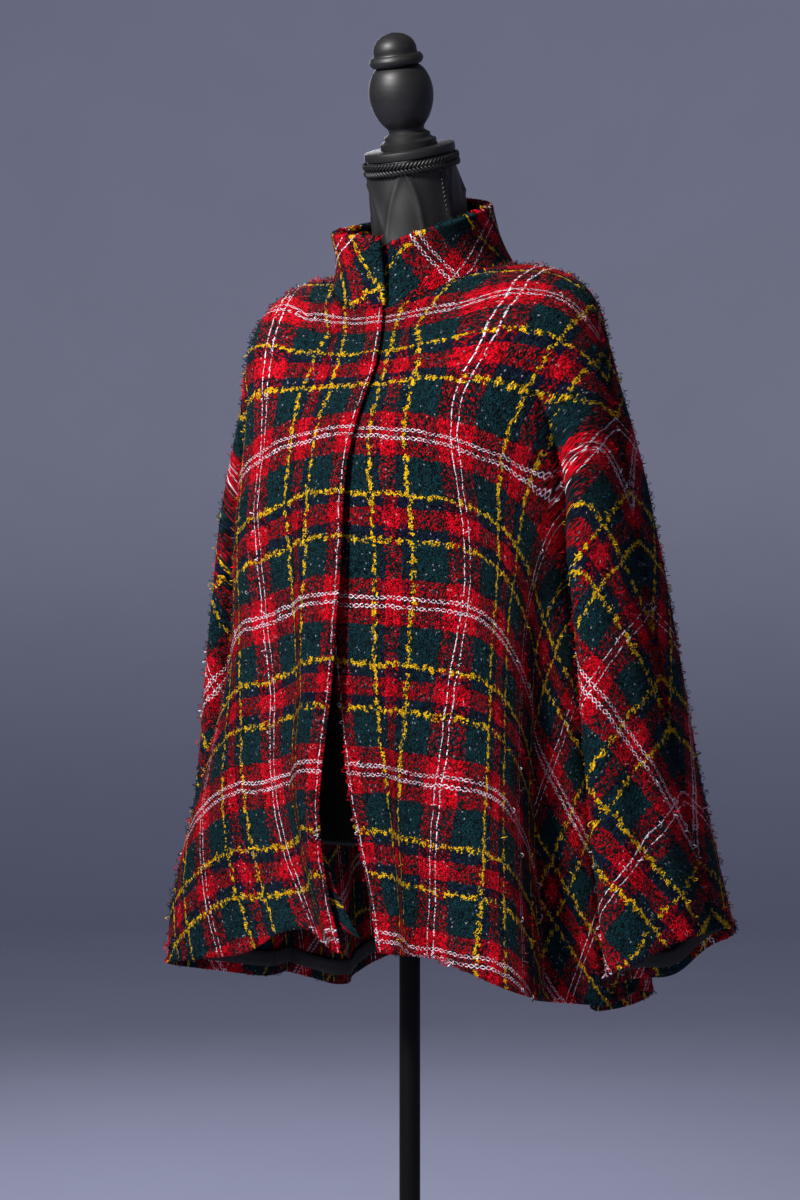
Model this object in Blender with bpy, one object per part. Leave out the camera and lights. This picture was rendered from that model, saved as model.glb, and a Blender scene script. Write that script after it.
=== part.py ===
"""A tweed cape jacket worn on a limbless dress form that stands on a pole.

Metres, +Z up. The origin is the middle of the round base, on the surface it
stands on. The wearer's front faces -Y and the wearer's left is at +X. The cloth
is a thin wall over rings that run from the neck seam (fall 0) to the hem
(fall 1). Each side has a body part, from the middle to the side seam, and a
wide sleeve cut in one with it. Above the underarm the two share one surface.
"""

import math

import bpy
import numpy as np
from mathutils import Matrix, Vector

# Driving sizes
CLOTH = 0.0022           # thickness of the tweed wall
SEAM_GAP = 0.0003        # between two pieces that are sewn together
UNDERARM_FALL = 0.44     # where the sleeve parts from the body
SLEEVE_CLEARANCE = 0.016  # between body and sleeve at the hem
TAPE = 0.0009            # thickness of the hem tape
TAPE_CLEAR = 0.0004      # between the tape and the cloth it lies on
VALLEY_ANGLE = math.radians(56)  # where the sleeve starts on a shoulder ring
PARTING_START = 0.16     # fall where the fold between body and sleeve starts

# How full the rings are below the underarm: 1 is an ellipse, less is squarer
BODY_WIDTH_POWER = 0.86
BODY_DEPTH_POWER = 0.66
BODY_HEM_POWER = 1.6     # how late the hem rises or drops towards the side seam
SLEEVE_POWER = 0.72

POLE_RADIUS = 0.0107
POLE_TOP = 0.7997        # just under the form's flat bottom
BASE_RADIUS = 0.195
BASE_HEIGHT = 0.014
BASE_EDGE = 0.003
# The hub's section: how far out from the pole, and the height above the base
HUB_COLUMNS = ("out", "height")
HUB = (
    (0.0008, 0.000),
    (0.0193, 0.000),
    (0.0173, 0.012),
    (0.0068, 0.041),
    (0.0048, 0.045),
    (0.0008, 0.045),
)

NECK_TILT = math.radians(17)   # the neck and finial lean forward
CAP_POINT = (0.0, 0.001, 1.5000)  # middle of the neck's top face
CAP_RADIUS = 0.0470
CAP_HEIGHT = 0.0090
CAP_EDGE = 0.0015
CORD_HALF_HEIGHT = 0.0055
CORD_HALF_DEPTH = 0.0025
CORD_DROP = 0.0075       # from the cap's underside to the cord's middle
CORD_RING_RADIUS = 0.0487
CORD_TURNS = 40
CORD_SIDES = 8

# The envelope of the garment, one row for each ring
ENVELOPE_COLUMNS = (
    "fall", "front_y", "front_z", "arm_x", "arm_y", "arm_z", "back_y", "back_z",
)
ENVELOPE = (
    (0.000, -0.075, 1.336, 0.0910, 0.040, 1.3830, 0.135, 1.403),
    (0.045, -0.084, 1.309, 0.1240, 0.042, 1.3820, 0.146, 1.375),
    (0.095, -0.098, 1.279, 0.1580, 0.042, 1.3710, 0.152, 1.339),
    (0.150, -0.116, 1.246, 0.1860, 0.037, 1.3440, 0.156, 1.297),
    (0.200, -0.130, 1.216, 0.1980, 0.032, 1.3080, 0.159, 1.258),
    (0.260, -0.138, 1.178, 0.2080, 0.031, 1.2640, 0.161, 1.214),
    (0.440, -0.142, 1.064, 0.2330, 0.034, 1.1330, 0.166, 1.081),
    (0.600, -0.143, 0.962, 0.2530, 0.038, 1.0130, 0.171, 0.963),
    (0.800, -0.143, 0.835, 0.2760, 0.052, 0.8650, 0.178, 0.815),
    (1.000, -0.140, 0.703, 0.3060, 0.070, 0.7180, 0.186, 0.668),
)
RIGHT_SLEEVE_NARROWER = 0.068   # share of the width, all of it from the chest down

# Where body and sleeve part: the side seam, and the sleeve's front and back
PARTING_COLUMNS = (
    "fall", "side_x", "side_y", "side_z", "sleeve_front_y", "sleeve_back_y",
)
PARTING = (
    (0.000, 0.165, 0.040, 1.360, -0.040, 0.105),
    (0.260, 0.187, 0.040, 1.205, -0.040, 0.112),
    (0.440, 0.189, 0.042, 1.068, -0.040, 0.120),
    (0.600, 0.195, 0.045, 0.945, -0.036, 0.131),
    (0.800, 0.202, 0.050, 0.790, -0.030, 0.146),
    (1.000, 0.210, 0.056, 0.640, -0.024, 0.166),
)
CUFF_LIFT = 0.024        # how far the sleeve's under seam ends above the side seam

# The free front edges: the right front laps over the left one
EDGE_COLUMNS = ("fall", "right_x", "right_out", "left_x", "left_out")
EDGES = (
    (0.000, 0.014, 0.0034, -0.012, -0.0034),
    (0.095, 0.020, 0.0038, -0.014, -0.0036),
    (0.260, 0.012, 0.0052, -0.016, -0.0044),
    (0.440, 0.008, 0.0080, -0.012, -0.0060),
    (0.600, 0.001, 0.0110, -0.004, -0.0090),
    (0.800, -0.011, 0.0130, 0.014, -0.0100),
    (0.920, -0.004, 0.0090, 0.034, -0.0060),
    (1.000, 0.007, 0.0040, 0.046, 0.0000),
)
LAP_SPREAD = 0.075       # from a free edge to where its front is level again

# Folds: a soft ridge (+) or trough (-), with a sideways roll at its sides
FOLD_COLUMNS = ("piece", "centre", "half_width", "depth", "roll", "start", "full")
FOLDS = (
    ("front_left_body", 0.20, 0.15, -0.016, 0.000, 0.50, 1.00),
    ("front_left_body", 0.50, 0.24, 0.028, 0.000, 0.30, 1.00),
    ("front_left_body", 0.74, 0.11, -0.026, 0.014, 0.35, 1.00),
    ("front_left_body", 0.90, 0.13, 0.022, 0.000, 0.30, 1.00),
    ("front_left_sleeve", 0.42, 0.22, 0.012, 0.000, 0.30, 0.90),
    ("front_left_sleeve", 0.72, 0.16, -0.008, 0.000, 0.30, 1.00),
    ("front_right_body", 0.34, 0.22, -0.008, 0.000, 0.30, 0.95),
    ("front_right_body", 0.70, 0.30, 0.062, 0.000, 0.50, 1.00),
    ("front_right_sleeve", 0.50, 0.24, 0.008, 0.000, 0.35, 1.00),
    ("back_left_body", 0.24, 0.18, 0.014, 0.000, 0.25, 1.00),
    ("back_left_body", 0.50, 0.14, -0.020, 0.004, 0.30, 1.00),
    ("back_left_body", 0.74, 0.18, 0.022, 0.000, 0.35, 1.00),
    ("back_left_sleeve", 0.55, 0.26, 0.012, 0.000, 0.30, 1.00),
    ("back_right_body", 0.22, 0.14, -0.012, 0.000, 0.30, 1.00),
    ("back_right_body", 0.44, 0.18, 0.020, 0.000, 0.25, 1.00),
    ("back_right_body", 0.66, 0.13, -0.020, 0.006, 0.35, 1.00),
    ("back_right_body", 0.84, 0.14, 0.016, 0.000, 0.40, 1.00),
    ("back_right_sleeve", 0.50, 0.26, 0.010, 0.000, 0.30, 1.00),
)

SEAM_HOLD = 0.08         # the part of a panel beside a seam that the folds leave flat

# How far each hem corner drops below the level that the envelope gives it
HEM_DROP_COLUMNS = ("piece", "centre", "half_width", "drop")
HEM_DROPS = (
    ("front_left_body", 0.62, 0.38, 0.012),
    ("front_right_body", 0.12, 0.36, -0.020),
    ("front_right_body", 0.00, 0.10, 0.018),
    ("back_right_body", 0.62, 0.38, 0.030),
    ("back_left_body", 0.50, 0.36, 0.042),
    ("back_left_sleeve", 0.26, 0.25, 0.012),
    ("back_right_sleeve", 0.38, 0.38, 0.042),
)

# The dress form, one row for each ring; the cloth lies on the yoke between them
FORM_COLUMNS = (
    "front_y", "front_z", "side_x", "side_y", "side_z", "back_y", "back_z",
)
FORM_NECK = (
    (-0.0420, 1.4866, 0.0450, 0.001, 1.4997, 0.0440, 1.5129),
    (-0.0381, 1.4734, 0.0452, 0.005, 1.4866, 0.0483, 1.4998),
    (-0.0360, 1.4400, 0.0460, 0.018, 1.4540, 0.0660, 1.4660),
    (-0.0320, 1.3900, 0.0520, 0.030, 1.4080, 0.0880, 1.4200),
    (-0.0400, 1.3450, 0.0720, 0.037, 1.3800, 0.1080, 1.3840),
)
FORM_YOKE_FALLS = (0.045, 0.070, 0.095, 0.125, 0.155)
FORM_CLEAR = 0.0006      # between the form's yoke and the cloth on it
FORM_FRONT_CLEAR = 0.0065 # more of it where the fronts lap
FORM_TRUNK = (
    (-0.1160, 1.2050, 0.1800, 0.034, 1.3000, 0.1460, 1.2300),
    (-0.1260, 1.1500, 0.1620, 0.030, 1.2150, 0.1420, 1.1700),
    (-0.1160, 1.0900, 0.1480, 0.024, 1.1300, 0.1260, 1.1000),
    (-0.0880, 1.0200, 0.1240, 0.018, 1.0400, 0.1040, 1.0300),
    (-0.0780, 0.9700, 0.1200, 0.018, 0.9800, 0.1040, 0.9700),
    (-0.0900, 0.8900, 0.1440, 0.022, 0.8950, 0.1200, 0.8900),
    (-0.0940, 0.8000, 0.1520, 0.022, 0.8000, 0.1220, 0.8000),
)

# The turned finial: radius and height above the cap, from the cap to the tip
FINIAL_COLUMNS = ("radius", "height")
FINIAL = (
    (0.0290, 0.0000),
    (0.0290, 0.0060),
    (0.0240, 0.0085),
    (0.0235, 0.0125),
    (0.0185, 0.0160),
    (0.0190, 0.0200),
    (0.0255, 0.0285),
    (0.0310, 0.0410),
    (0.0330, 0.0540),
    (0.0315, 0.0660),
    (0.0270, 0.0765),
    (0.0215, 0.0820),
    (0.0255, 0.0835),
    (0.0278, 0.0880),
    (0.0255, 0.0930),
    (0.0225, 0.0940),
    (0.0220, 0.1010),
    (0.0185, 0.1080),
    (0.0110, 0.1135),
)
FINIAL_TIP = 0.1160

COLOURS = {
    "tweed": (0.32, 0.02, 0.03),
    "tape": (0.01, 0.01, 0.012),
    "jersey": (0.012, 0.012, 0.014),
    "cord": (0.008, 0.008, 0.009),
    "painted_wood": (0.010, 0.010, 0.011),
    "painted_steel": (0.012, 0.012, 0.013),
}


def clear_scene():
    for item in list(bpy.data.objects):
        bpy.data.objects.remove(item, do_unlink=True)


def make_material(name, roughness):
    material = bpy.data.materials.new(name)
    material.use_nodes = True
    shader = material.node_tree.nodes["Principled BSDF"]
    shader.inputs["Base Color"].default_value = (*COLOURS[name], 1.0)
    shader.inputs["Roughness"].default_value = roughness
    shader.inputs["Metallic"].default_value = 0.0
    return material


def smooth_step(value):
    value = min(1.0, max(0.0, value))
    return value * value * (3 - 2 * value)


def hump(value):
    """1 in the middle, 0 from -1 outward and from 1 outward."""
    if abs(value) >= 1:
        return 0.0
    return 0.5 * (1 + math.cos(math.pi * value))


def read_table(table, columns, fall):
    """A smooth curve through a table's rows, by its first column."""
    rows = np.array(table)
    falls = rows[:, 0]
    slopes = np.gradient(rows, falls, axis=0)
    row = int(np.clip(np.searchsorted(falls, fall, side="right") - 1, 0, len(rows) - 2))
    span = falls[row + 1] - falls[row]
    step = (fall - falls[row]) / span
    square = step * step
    cube = square * step
    values = (
        (2 * cube - 3 * square + 1) * rows[row]
        + (cube - 2 * square + step) * span * slopes[row]
        + (3 * square - 2 * cube) * rows[row + 1]
        + (cube - square) * span * slopes[row + 1]
    )
    return dict(zip(columns, values))


def edge_of(name, fall):
    """Where a front's free edge is, from the middle out, and how far out it lies."""
    edges = read_table(EDGES, EDGE_COLUMNS, fall)
    if name.startswith("front_right"):
        return -edges["right_x"], edges["right_out"]
    if name.startswith("front_left"):
        return edges["left_x"], edges["left_out"]
    return 0.0, 0.0


def lap_offset(x, edge_x, edge_out):
    """How far a front stands out, or tucks in, near its free edge."""
    return edge_out * hump((x - edge_x) / LAP_SPREAD)


def read_envelope(name, fall):
    ring = read_table(ENVELOPE, ENVELOPE_COLUMNS, fall)
    if name.endswith("right"):
        ring["arm_x"] *= 1 - RIGHT_SLEEVE_NARROWER * smooth_step((fall - 0.10) / 0.2)
    return ring


def fold_offset(name, across, fall, heading):
    """The folds' push on a point, in plan; heading is the outward direction."""
    outward = 0.0
    sideways = 0.0
    for row in FOLDS:
        fold = dict(zip(FOLD_COLUMNS, row))
        if fold["piece"] != name:
            continue
        place = (across - fold["centre"]) / fold["half_width"]
        reach = smooth_step((fall - fold["start"]) / (fold["full"] - fold["start"]))
        outward += fold["depth"] * hump(place) * reach
        sideways -= fold["roll"] * math.sin(math.pi * place) * hump(place) * reach
    hold = smooth_step((1 - across) / SEAM_HOLD)
    if not name.startswith("front") or name.endswith("sleeve"):
        hold *= smooth_step(across / SEAM_HOLD)
    outward *= hold
    sideways *= hold
    return (
        outward * math.sin(heading) + sideways * math.cos(heading),
        -outward * math.cos(heading) + sideways * math.sin(heading),
    )


def hem_drop(name, across, fall):
    drop = 0.0
    for row in HEM_DROPS:
        entry = dict(zip(HEM_DROP_COLUMNS, row))
        if entry["piece"] == name:
            place = (across - entry["centre"]) / entry["half_width"]
            drop += entry["drop"] * hump(place) * smooth_step((fall - 0.3) / 0.7)
    return drop


def below_underarm(fall):
    """0 down to the underarm, 1 at the hem."""
    return max(0.0, (fall - UNDERARM_FALL) / (1 - UNDERARM_FALL))


def parted_share(fall):
    """0 while body and sleeve are one ring, 1 from the underarm down."""
    return smooth_step((fall - PARTING_START) / (UNDERARM_FALL - PARTING_START))


def shoulder_point(name, angle, fall, edge_x):
    """A point on the ring that body and sleeve share near the shoulder."""
    ring = read_envelope(name, fall)
    face = "front" if name.startswith("front") else "back"
    middle_y = ring[face + "_y"]
    middle_z = ring[face + "_z"]
    x = edge_x + (ring["arm_x"] - edge_x) * math.sin(angle)
    share = min(1.0, x / ring["arm_x"])
    return np.array([
        x,
        ring["arm_y"] + (middle_y - ring["arm_y"]) * math.sqrt(1 - share * share),
        middle_z + (ring["arm_z"] - middle_z) * share * share,
    ])


def body_point(name, across, fall):
    """From the middle (across 0) to the side seam (across 1), for x > 0."""
    ring = read_envelope(name, fall)
    parting = read_table(PARTING, PARTING_COLUMNS, fall)
    face = "front" if name.startswith("front") else "back"
    edge_x, edge_out = edge_of(name, fall)
    shoulder = shoulder_point(name, across * VALLEY_ANGLE, fall, edge_x)
    angle = across * math.pi / 2
    middle_y = ring[face + "_y"]
    side_x = parting["side_x"] - opening_of(fall)
    hanging = np.array([
        edge_x + (side_x - edge_x) * math.sin(angle) ** BODY_WIDTH_POWER,
        parting["side_y"]
        + (middle_y - parting["side_y"]) * math.cos(angle) ** BODY_DEPTH_POWER,
        ring[face + "_z"]
        + (parting["side_z"] - ring[face + "_z"]) * across ** BODY_HEM_POWER,
    ])
    parted = parted_share(fall)
    point = (1 - parted) * shoulder + parted * hanging
    heading = across * math.pi / 2 if face == "front" else math.pi - across * math.pi / 2
    push_x, push_y = fold_offset(name + "_body", across, fall, heading)
    point[1] += push_y - lap_offset(point[0], edge_x, edge_out)
    point[0] += push_x
    point[2] -= hem_drop(name + "_body", across, fall)
    return point


def sleeve_point(name, across, fall):
    """From the under seam (across 0) to the over-arm seam (across 1), for x > 0."""
    ring = read_envelope(name, fall)
    parting = read_table(PARTING, PARTING_COLUMNS, fall)
    face = "front" if name.startswith("front") else "back"
    edge_x = edge_of(name, fall)[0]
    angle = VALLEY_ANGLE + across * (math.pi / 2 - VALLEY_ANGLE)
    shoulder = shoulder_point(name, angle, fall, edge_x)
    inner_x = parting["side_x"] + opening_of(fall)
    outer_x = ring["arm_x"]
    under_z = parting["side_z"] + CUFF_LIFT * below_underarm(fall)
    level_y = parting["side_y"] + (ring["arm_y"] - parting["side_y"]) * across
    swell = math.sin(math.pi * across) ** SLEEVE_POWER if 0 < across < 1 else 0.0
    hanging = np.array([
        (inner_x + outer_x) / 2 - (outer_x - inner_x) / 2 * math.cos(math.pi * across),
        level_y + (parting[f"sleeve_{face}_y"] - level_y) * swell,
        under_z + (ring["arm_z"] - under_z) * smooth_step(across),
    ])
    parted = parted_share(fall)
    point = (1 - parted) * shoulder + parted * hanging
    heading = math.pi * (across - 0.5)
    if face == "back":
        heading = math.pi - heading
    push_x, push_y = fold_offset(name + "_sleeve", across, fall, heading)
    point[0] += push_x
    point[1] += push_y
    point[2] -= hem_drop(name + "_sleeve", across, fall)
    return point


def opening_of(fall):
    """Half the room between body and sleeve, none above the underarm."""
    return 0.5 * SLEEVE_CLEARANCE * math.sqrt(below_underarm(fall))


BODY_STEPS = tuple(i / 14 for i in range(15))
SLEEVE_STEPS = tuple(i / 10 for i in range(11))
FALLS = (
    0.0, 0.02, 0.045, 0.07, 0.095, 0.125, 0.155, 0.19, 0.23, 0.28, 0.33, 0.385,
    UNDERARM_FALL, 0.50, 0.57, 0.64, 0.71, 0.78, 0.85, 0.915, 0.966, 0.983, 1.0,
)
TAPE_FALLS = (0.966, 0.983)


class Cloth:
    """All the cloth's points, shared where two pieces are sewn together."""

    def __init__(self):
        self.keys = {}
        self.points = []
        self.faces = {}
        self.pulls = {}
        self.normals = None

    def add_point(self, point):
        key = tuple(int(round(v * 1e6)) for v in point)
        if key not in self.keys:
            self.keys[key] = len(self.points)
            self.points.append(np.array(point, dtype=float))
        return self.keys[key]

    def add_grid(self, piece, rows, outward):
        """Rows of points; outward is True where column x row turns outward."""
        index = [[self.add_point(p) for p in row] for row in rows]
        faces = self.faces.setdefault(piece, [])
        for upper, lower in zip(index, index[1:]):
            for a, b, c, d in zip(upper, upper[1:], lower[1:], lower):
                faces.append((a, d, c, b) if outward else (a, b, c, d))
        return index

    def pull(self, vertices, axis):
        """These points lie on a seam that is open by the seam gap along axis."""
        for vertex in vertices:
            self.pulls.setdefault(vertex, set()).add(axis)

    def find_normals(self):
        normals = np.zeros((len(self.points), 3))
        points = np.array(self.points)
        for faces in self.faces.values():
            for a, b, c, d in faces:
                normal = np.cross(points[c] - points[a], points[d] - points[b])
                for vertex in (a, b, c, d):
                    normals[vertex] += normal
        for vertex, axes in self.pulls.items():
            for axis in axes:
                normals[vertex][axis] = 0.0
        lengths = np.linalg.norm(normals, axis=1)
        self.normals = normals / lengths[:, None]


def wall_mesh(cloth, faces, shift, inner, outer):
    """A closed wall from offset inner to offset outer over some faces."""
    used = sorted({vertex for face in faces for vertex in face})
    slots = {vertex: n for n, vertex in enumerate(used)}
    count = len(used)
    points = []
    for offset in (outer, inner):
        for vertex in used:
            place = cloth.points[vertex] + shift.get(vertex, 0) + cloth.normals[vertex] * offset
            points.append(tuple(place))
    polygons = []
    borders = {}
    for face in faces:
        a, b, c, d = (slots[v] for v in face)
        polygons += [(a, b, c), (a, c, d)]
        polygons += [(a + count, c + count, b + count), (a + count, d + count, c + count)]
        for start, end in ((a, b), (b, c), (c, d), (d, a)):
            if (end, start) in borders:
                del borders[(end, start)]
            else:
                borders[(start, end)] = True
    for start, end in borders:
        polygons += [(end, start, start + count), (end, start + count, end + count)]
    return points, polygons


def add_object(name, points, polygons, material, smooth=True):
    mesh = bpy.data.meshes.new(name)
    mesh.from_pydata([tuple(p) for p in points], [], polygons)
    mesh.materials.append(material)
    mesh.update()
    thing = bpy.data.objects.new(name, mesh)
    bpy.context.scene.collection.objects.link(thing)
    if smooth:
        mesh.shade_smooth()
        mesh.set_sharp_from_angle(angle=math.radians(40))
    return thing


def grid_rows(name, side, part):
    make = body_point if part == "body" else sleeve_point
    steps = BODY_STEPS if part == "body" else SLEEVE_STEPS
    flip = np.array([side, 1.0, 1.0])
    return [[make(name, step, fall) * flip for step in steps] for fall in FALLS]


def build_cloth():
    """The whole garment's surface, with its seams marked."""
    cloth = Cloth()
    grids = {}
    for side, side_name in ((1, "left"), (-1, "right")):
        for face in ("front", "back"):
            name = f"{face}_{side_name}"
            outward = (side == 1) == (face == "front")
            for part in ("body", "sleeve"):
                rows = grid_rows(name, side, part)
                index = cloth.add_grid(name, rows, outward)
                grids[name, part] = index
                cloth.pull(index[0], 2)
            below = FALLS.index(UNDERARM_FALL)
            cloth.pull([row[-1] for row in grids[name, "body"][below:]], 1)
            cloth.pull([row[0] for row in grids[name, "sleeve"][below:]], 1)
            cloth.pull([row[-1] for row in grids[name, "sleeve"]], 1)
        cloth.pull([row[0] for row in grids[name, "body"]], 0)
    cloth.find_normals()
    return cloth, grids


def seam_shift(cloth, piece):
    """Half the seam gap, away from the piece on the seam's other side."""
    half = SEAM_GAP / 2
    shift = {}
    for vertex, axes in cloth.pulls.items():
        move = np.zeros(3)
        if 0 in axes:
            move[0] = half * (piece.endswith("left") - piece.endswith("right"))
        if 1 in axes:
            move[1] = half if piece.startswith("back") else -half
        if 2 in axes:
            move[2] = -half
        shift[vertex] = move
    return shift


def build_panels(cloth, tweed):
    for piece, faces in cloth.faces.items():
        shift = seam_shift(cloth, piece)
        points, polygons = wall_mesh(cloth, faces, shift, -CLOTH / 2, CLOTH / 2)
        add_object(piece, points, polygons, tweed)


def tape_faces(grids, part):
    """The panel's faces that the tape covers, clear of the placket's facing."""
    first = FACING_STEPS + 1 if part == ("front_right", "body") else 0
    outward = part[0] in ("front_left", "back_right")
    upper = grids[part][FALLS.index(TAPE_FALLS[0])][first:]
    lower = grids[part][FALLS.index(TAPE_FALLS[1])][first:]
    faces = []
    for a, b, c, d in zip(upper, upper[1:], lower[1:], lower):
        faces.append((a, d, c, b) if outward else (a, b, c, d))
    return faces


def build_tapes(cloth, grids, material):
    """Flat tape sewn inside each hem and each cuff."""
    outer = -CLOTH / 2 - TAPE_CLEAR
    inner = outer - TAPE
    tapes = {
        "hem_tape_left": [("front_left", "body")],
        "hem_tape_right": [("front_right", "body")],
        "hem_tape_back": [("back_left", "body"), ("back_right", "body")],
        "cuff_tape_left": [("front_left", "sleeve"), ("back_left", "sleeve")],
        "cuff_tape_right": [("front_right", "sleeve"), ("back_right", "sleeve")],
    }
    for name, parts in tapes.items():
        faces = [face for part in parts for face in tape_faces(grids, part)]
        piece = "back" if name == "hem_tape_back" else "front"
        shift = {} if name.startswith("cuff") else seam_shift(cloth, piece)
        points, polygons = wall_mesh(cloth, faces, shift, inner, outer)
        add_object(name, points, polygons, material)


# The collar's top edge, one row for each place around it, from its right end
COLLAR_TOP_COLUMNS = ("turn", "z")
COLLAR_TOP = (
    (0.00, 1.405),
    (0.12, 1.413),
    (0.30, 1.436),
    (0.50, 1.466),
    (0.70, 1.444),
    (0.88, 1.410),
    (1.00, 1.390),
)
COLLAR_ROWS = 4
COLLAR_TOP_HALF_WIDTH = 0.081
COLLAR_TOP_FRONT_Y = -0.083
COLLAR_TOP_MIDDLE_Y = 0.004
COLLAR_TOP_BACK_Y = 0.092
COLLAR_WAIST = 0.004     # how far the collar draws in, halfway up
COLLAR_LEFT_TUCK = 0.008  # how far the left end's top lies farther in


def collar_angles():
    """Plan angles from the centre front, by way of the wearer's right side."""
    quarters = {}
    for name in ("front_right", "back_right", "back_left", "front_left"):
        edge_x = edge_of(name, 0.0)[0]
        arm_x = read_envelope(name, 0.0)["arm_x"]
        bends = [VALLEY_ANGLE * step for step in BODY_STEPS]
        bends += [VALLEY_ANGLE + (math.pi / 2 - VALLEY_ANGLE) * s for s in SLEEVE_STEPS[1:]]
        shares = [(edge_x + (arm_x - edge_x) * math.sin(bend)) / arm_x for bend in bends]
        quarters[name] = [math.asin(min(1.0, share)) for share in shares]
    angles = quarters["front_right"]
    angles += [math.pi - bend for bend in reversed(quarters["back_right"][:-1])]
    angles += [math.pi + bend for bend in quarters["back_left"][1:]]
    angles += [2 * math.pi - bend for bend in reversed(quarters["front_left"][:-1])]
    return angles


def collar_point(angle, turn, rise):
    """Rise 0 is the neck seam and 1 is the top edge; turn goes from end to end."""
    side = -1.0 if math.sin(angle / 2) * math.cos(angle / 2) >= 0 else 1.0
    low = read_table(ENVELOPE, ENVELOPE_COLUMNS, 0.0)
    ahead = math.cos(angle) >= 0
    low_middle = low["front_y"] if ahead else low["back_y"]
    low_z = low["front_z"] if ahead else low["back_z"]
    bend = abs(math.sin(angle))
    low_point = np.array([
        side * low["arm_x"] * bend,
        low["arm_y"] + (low_middle - low["arm_y"]) * abs(math.cos(angle)),
        low_z + (low["arm_z"] - low_z) * bend ** 2,
    ])
    top_middle = COLLAR_TOP_FRONT_Y if ahead else COLLAR_TOP_BACK_Y
    top_point = np.array([
        side * COLLAR_TOP_HALF_WIDTH * bend,
        COLLAR_TOP_MIDDLE_Y + (top_middle - COLLAR_TOP_MIDDLE_Y) * abs(math.cos(angle)),
        read_table(COLLAR_TOP, COLLAR_TOP_COLUMNS, turn)["z"],
    ])
    point = (1 - rise) * low_point + rise * top_point
    if turn < 0.25:
        point[1] -= lap_offset(-low_point[0], *edge_of("front_right", 0.0))
    if turn > 0.75:
        edge_x, edge_out = edge_of("front_left", 0.0)
        edge_out -= COLLAR_LEFT_TUCK * rise
        point[1] -= lap_offset(low_point[0], edge_x, edge_out)
    outward = np.array([side * bend, -math.cos(angle), 0.0])
    return point - outward * COLLAR_WAIST * math.sin(math.pi * rise)


def build_collar(tweed):
    cloth = Cloth()
    angles = collar_angles()
    turns = [(angle - angles[0]) / (angles[-1] - angles[0]) for angle in angles]
    rows = []
    for row in range(COLLAR_ROWS + 1):
        rise = 1 - row / COLLAR_ROWS
        rows.append([collar_point(a, turn, rise) for a, turn in zip(angles, turns)])
    index = cloth.add_grid("collar", rows, True)
    cloth.pull(index[-1], 2)
    cloth.find_normals()
    shift = {vertex: np.array([0, 0, SEAM_GAP / 2]) for vertex in index[-1]}
    points, polygons = wall_mesh(
        cloth, cloth.faces["collar"], shift, -CLOTH / 2, CLOTH / 2)
    add_object("collar", points, polygons, tweed)


# The placket's facing: a strip behind the right front's edge
FACING_COLUMNS = ("fall", "past_edge", "behind")
FACING = (
    (0.000, -0.004, 0.0008),
    (0.600, -0.004, 0.0008),
    (0.850, -0.002, 0.0026),
    (0.930, 0.008, 0.0050),
    (1.000, 0.024, 0.0090),
)
FACING_THICKNESS = 0.0012
FACING_CLEAR = 0.0008    # between the facing and the front that it backs
FACING_STEPS = 3         # columns of the right front that it covers


def build_facing(cloth, grids, tweed):
    """The strip that backs the right front's edge and shows below it."""
    facing = Cloth()
    rows = []
    source = grids["front_right", "body"]
    for fall, row in zip(FALLS[1:-1], source[1:-1]):
        place = read_table(FACING, FACING_COLUMNS, fall)
        edge = cloth.points[row[0]]
        free = edge + np.array([place["past_edge"], place["behind"], 0.0])
        covered = [cloth.points[row[n]] for n in range(1, FACING_STEPS + 1)]
        rows.append([free] + covered)
    facing.add_grid("placket_facing", rows, False)
    facing.find_normals()
    outer = -CLOTH / 2 - FACING_CLEAR
    points, polygons = wall_mesh(
        facing, facing.faces["placket_facing"], {}, outer - FACING_THICKNESS, outer)
    add_object("placket_facing", points, polygons, tweed)


def ring_solid(rings):
    """A closed solid through rings of equal length, with flat ends."""
    count = len(rings[0])
    points = [tuple(p) for ring in rings for p in ring]
    polygons = []
    for row in range(len(rings) - 1):
        for n in range(count):
            a = row * count + n
            b = row * count + (n + 1) % count
            c = b + count
            d = a + count
            polygons += [(a, d, c), (a, c, b)]
    for row, flip in ((0, False), (len(rings) - 1, True)):
        centre = len(points)
        ring = np.array(rings[row])
        points.append(tuple(ring.mean(axis=0)))
        for n in range(count):
            a = row * count + n
            b = row * count + (n + 1) % count
            polygons.append((centre, b, a) if flip else (centre, a, b))
    return points, polygons


def form_angles():
    """Angles from the centre front, every second one of the cloth's."""
    quarter = [VALLEY_ANGLE * step for step in BODY_STEPS[::2]]
    arm = math.pi / 2 - VALLEY_ANGLE
    quarter += [VALLEY_ANGLE + arm * step for step in SLEEVE_STEPS[2::2]]
    half = quarter + [math.pi - angle for angle in reversed(quarter[:-1])]
    return half + [2 * math.pi - angle for angle in reversed(half[1:-1])]


def yoke_point(angle, fall):
    """A point of the form just under the cloth; angle 0 is the centre front."""
    side = 1.0 if math.sin(angle) >= 0 else -1.0
    face = "front" if math.cos(angle) >= 0 else "back"
    name = f"{face}_{'left' if side > 0 else 'right'}"
    bend = math.asin(min(1.0, abs(math.sin(angle))))
    near = 0.004
    here = shoulder_point(name, bend, fall, 0.0)
    along = shoulder_point(name, bend - near, fall, 0.0) - here
    if bend < near:
        along = here - shoulder_point(name, bend + near, fall, 0.0)
    down = shoulder_point(name, bend, fall + near, 0.0) - here
    normal = np.cross(along, down)
    normal *= math.copysign(1.0, normal[2]) / np.linalg.norm(normal)
    point = here - normal * (CLOTH / 2 + FORM_CLEAR)
    if face == "front":
        point[1] += FORM_FRONT_CLEAR * hump(point[0] / 0.1)
    point[0] *= side
    return point


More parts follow.
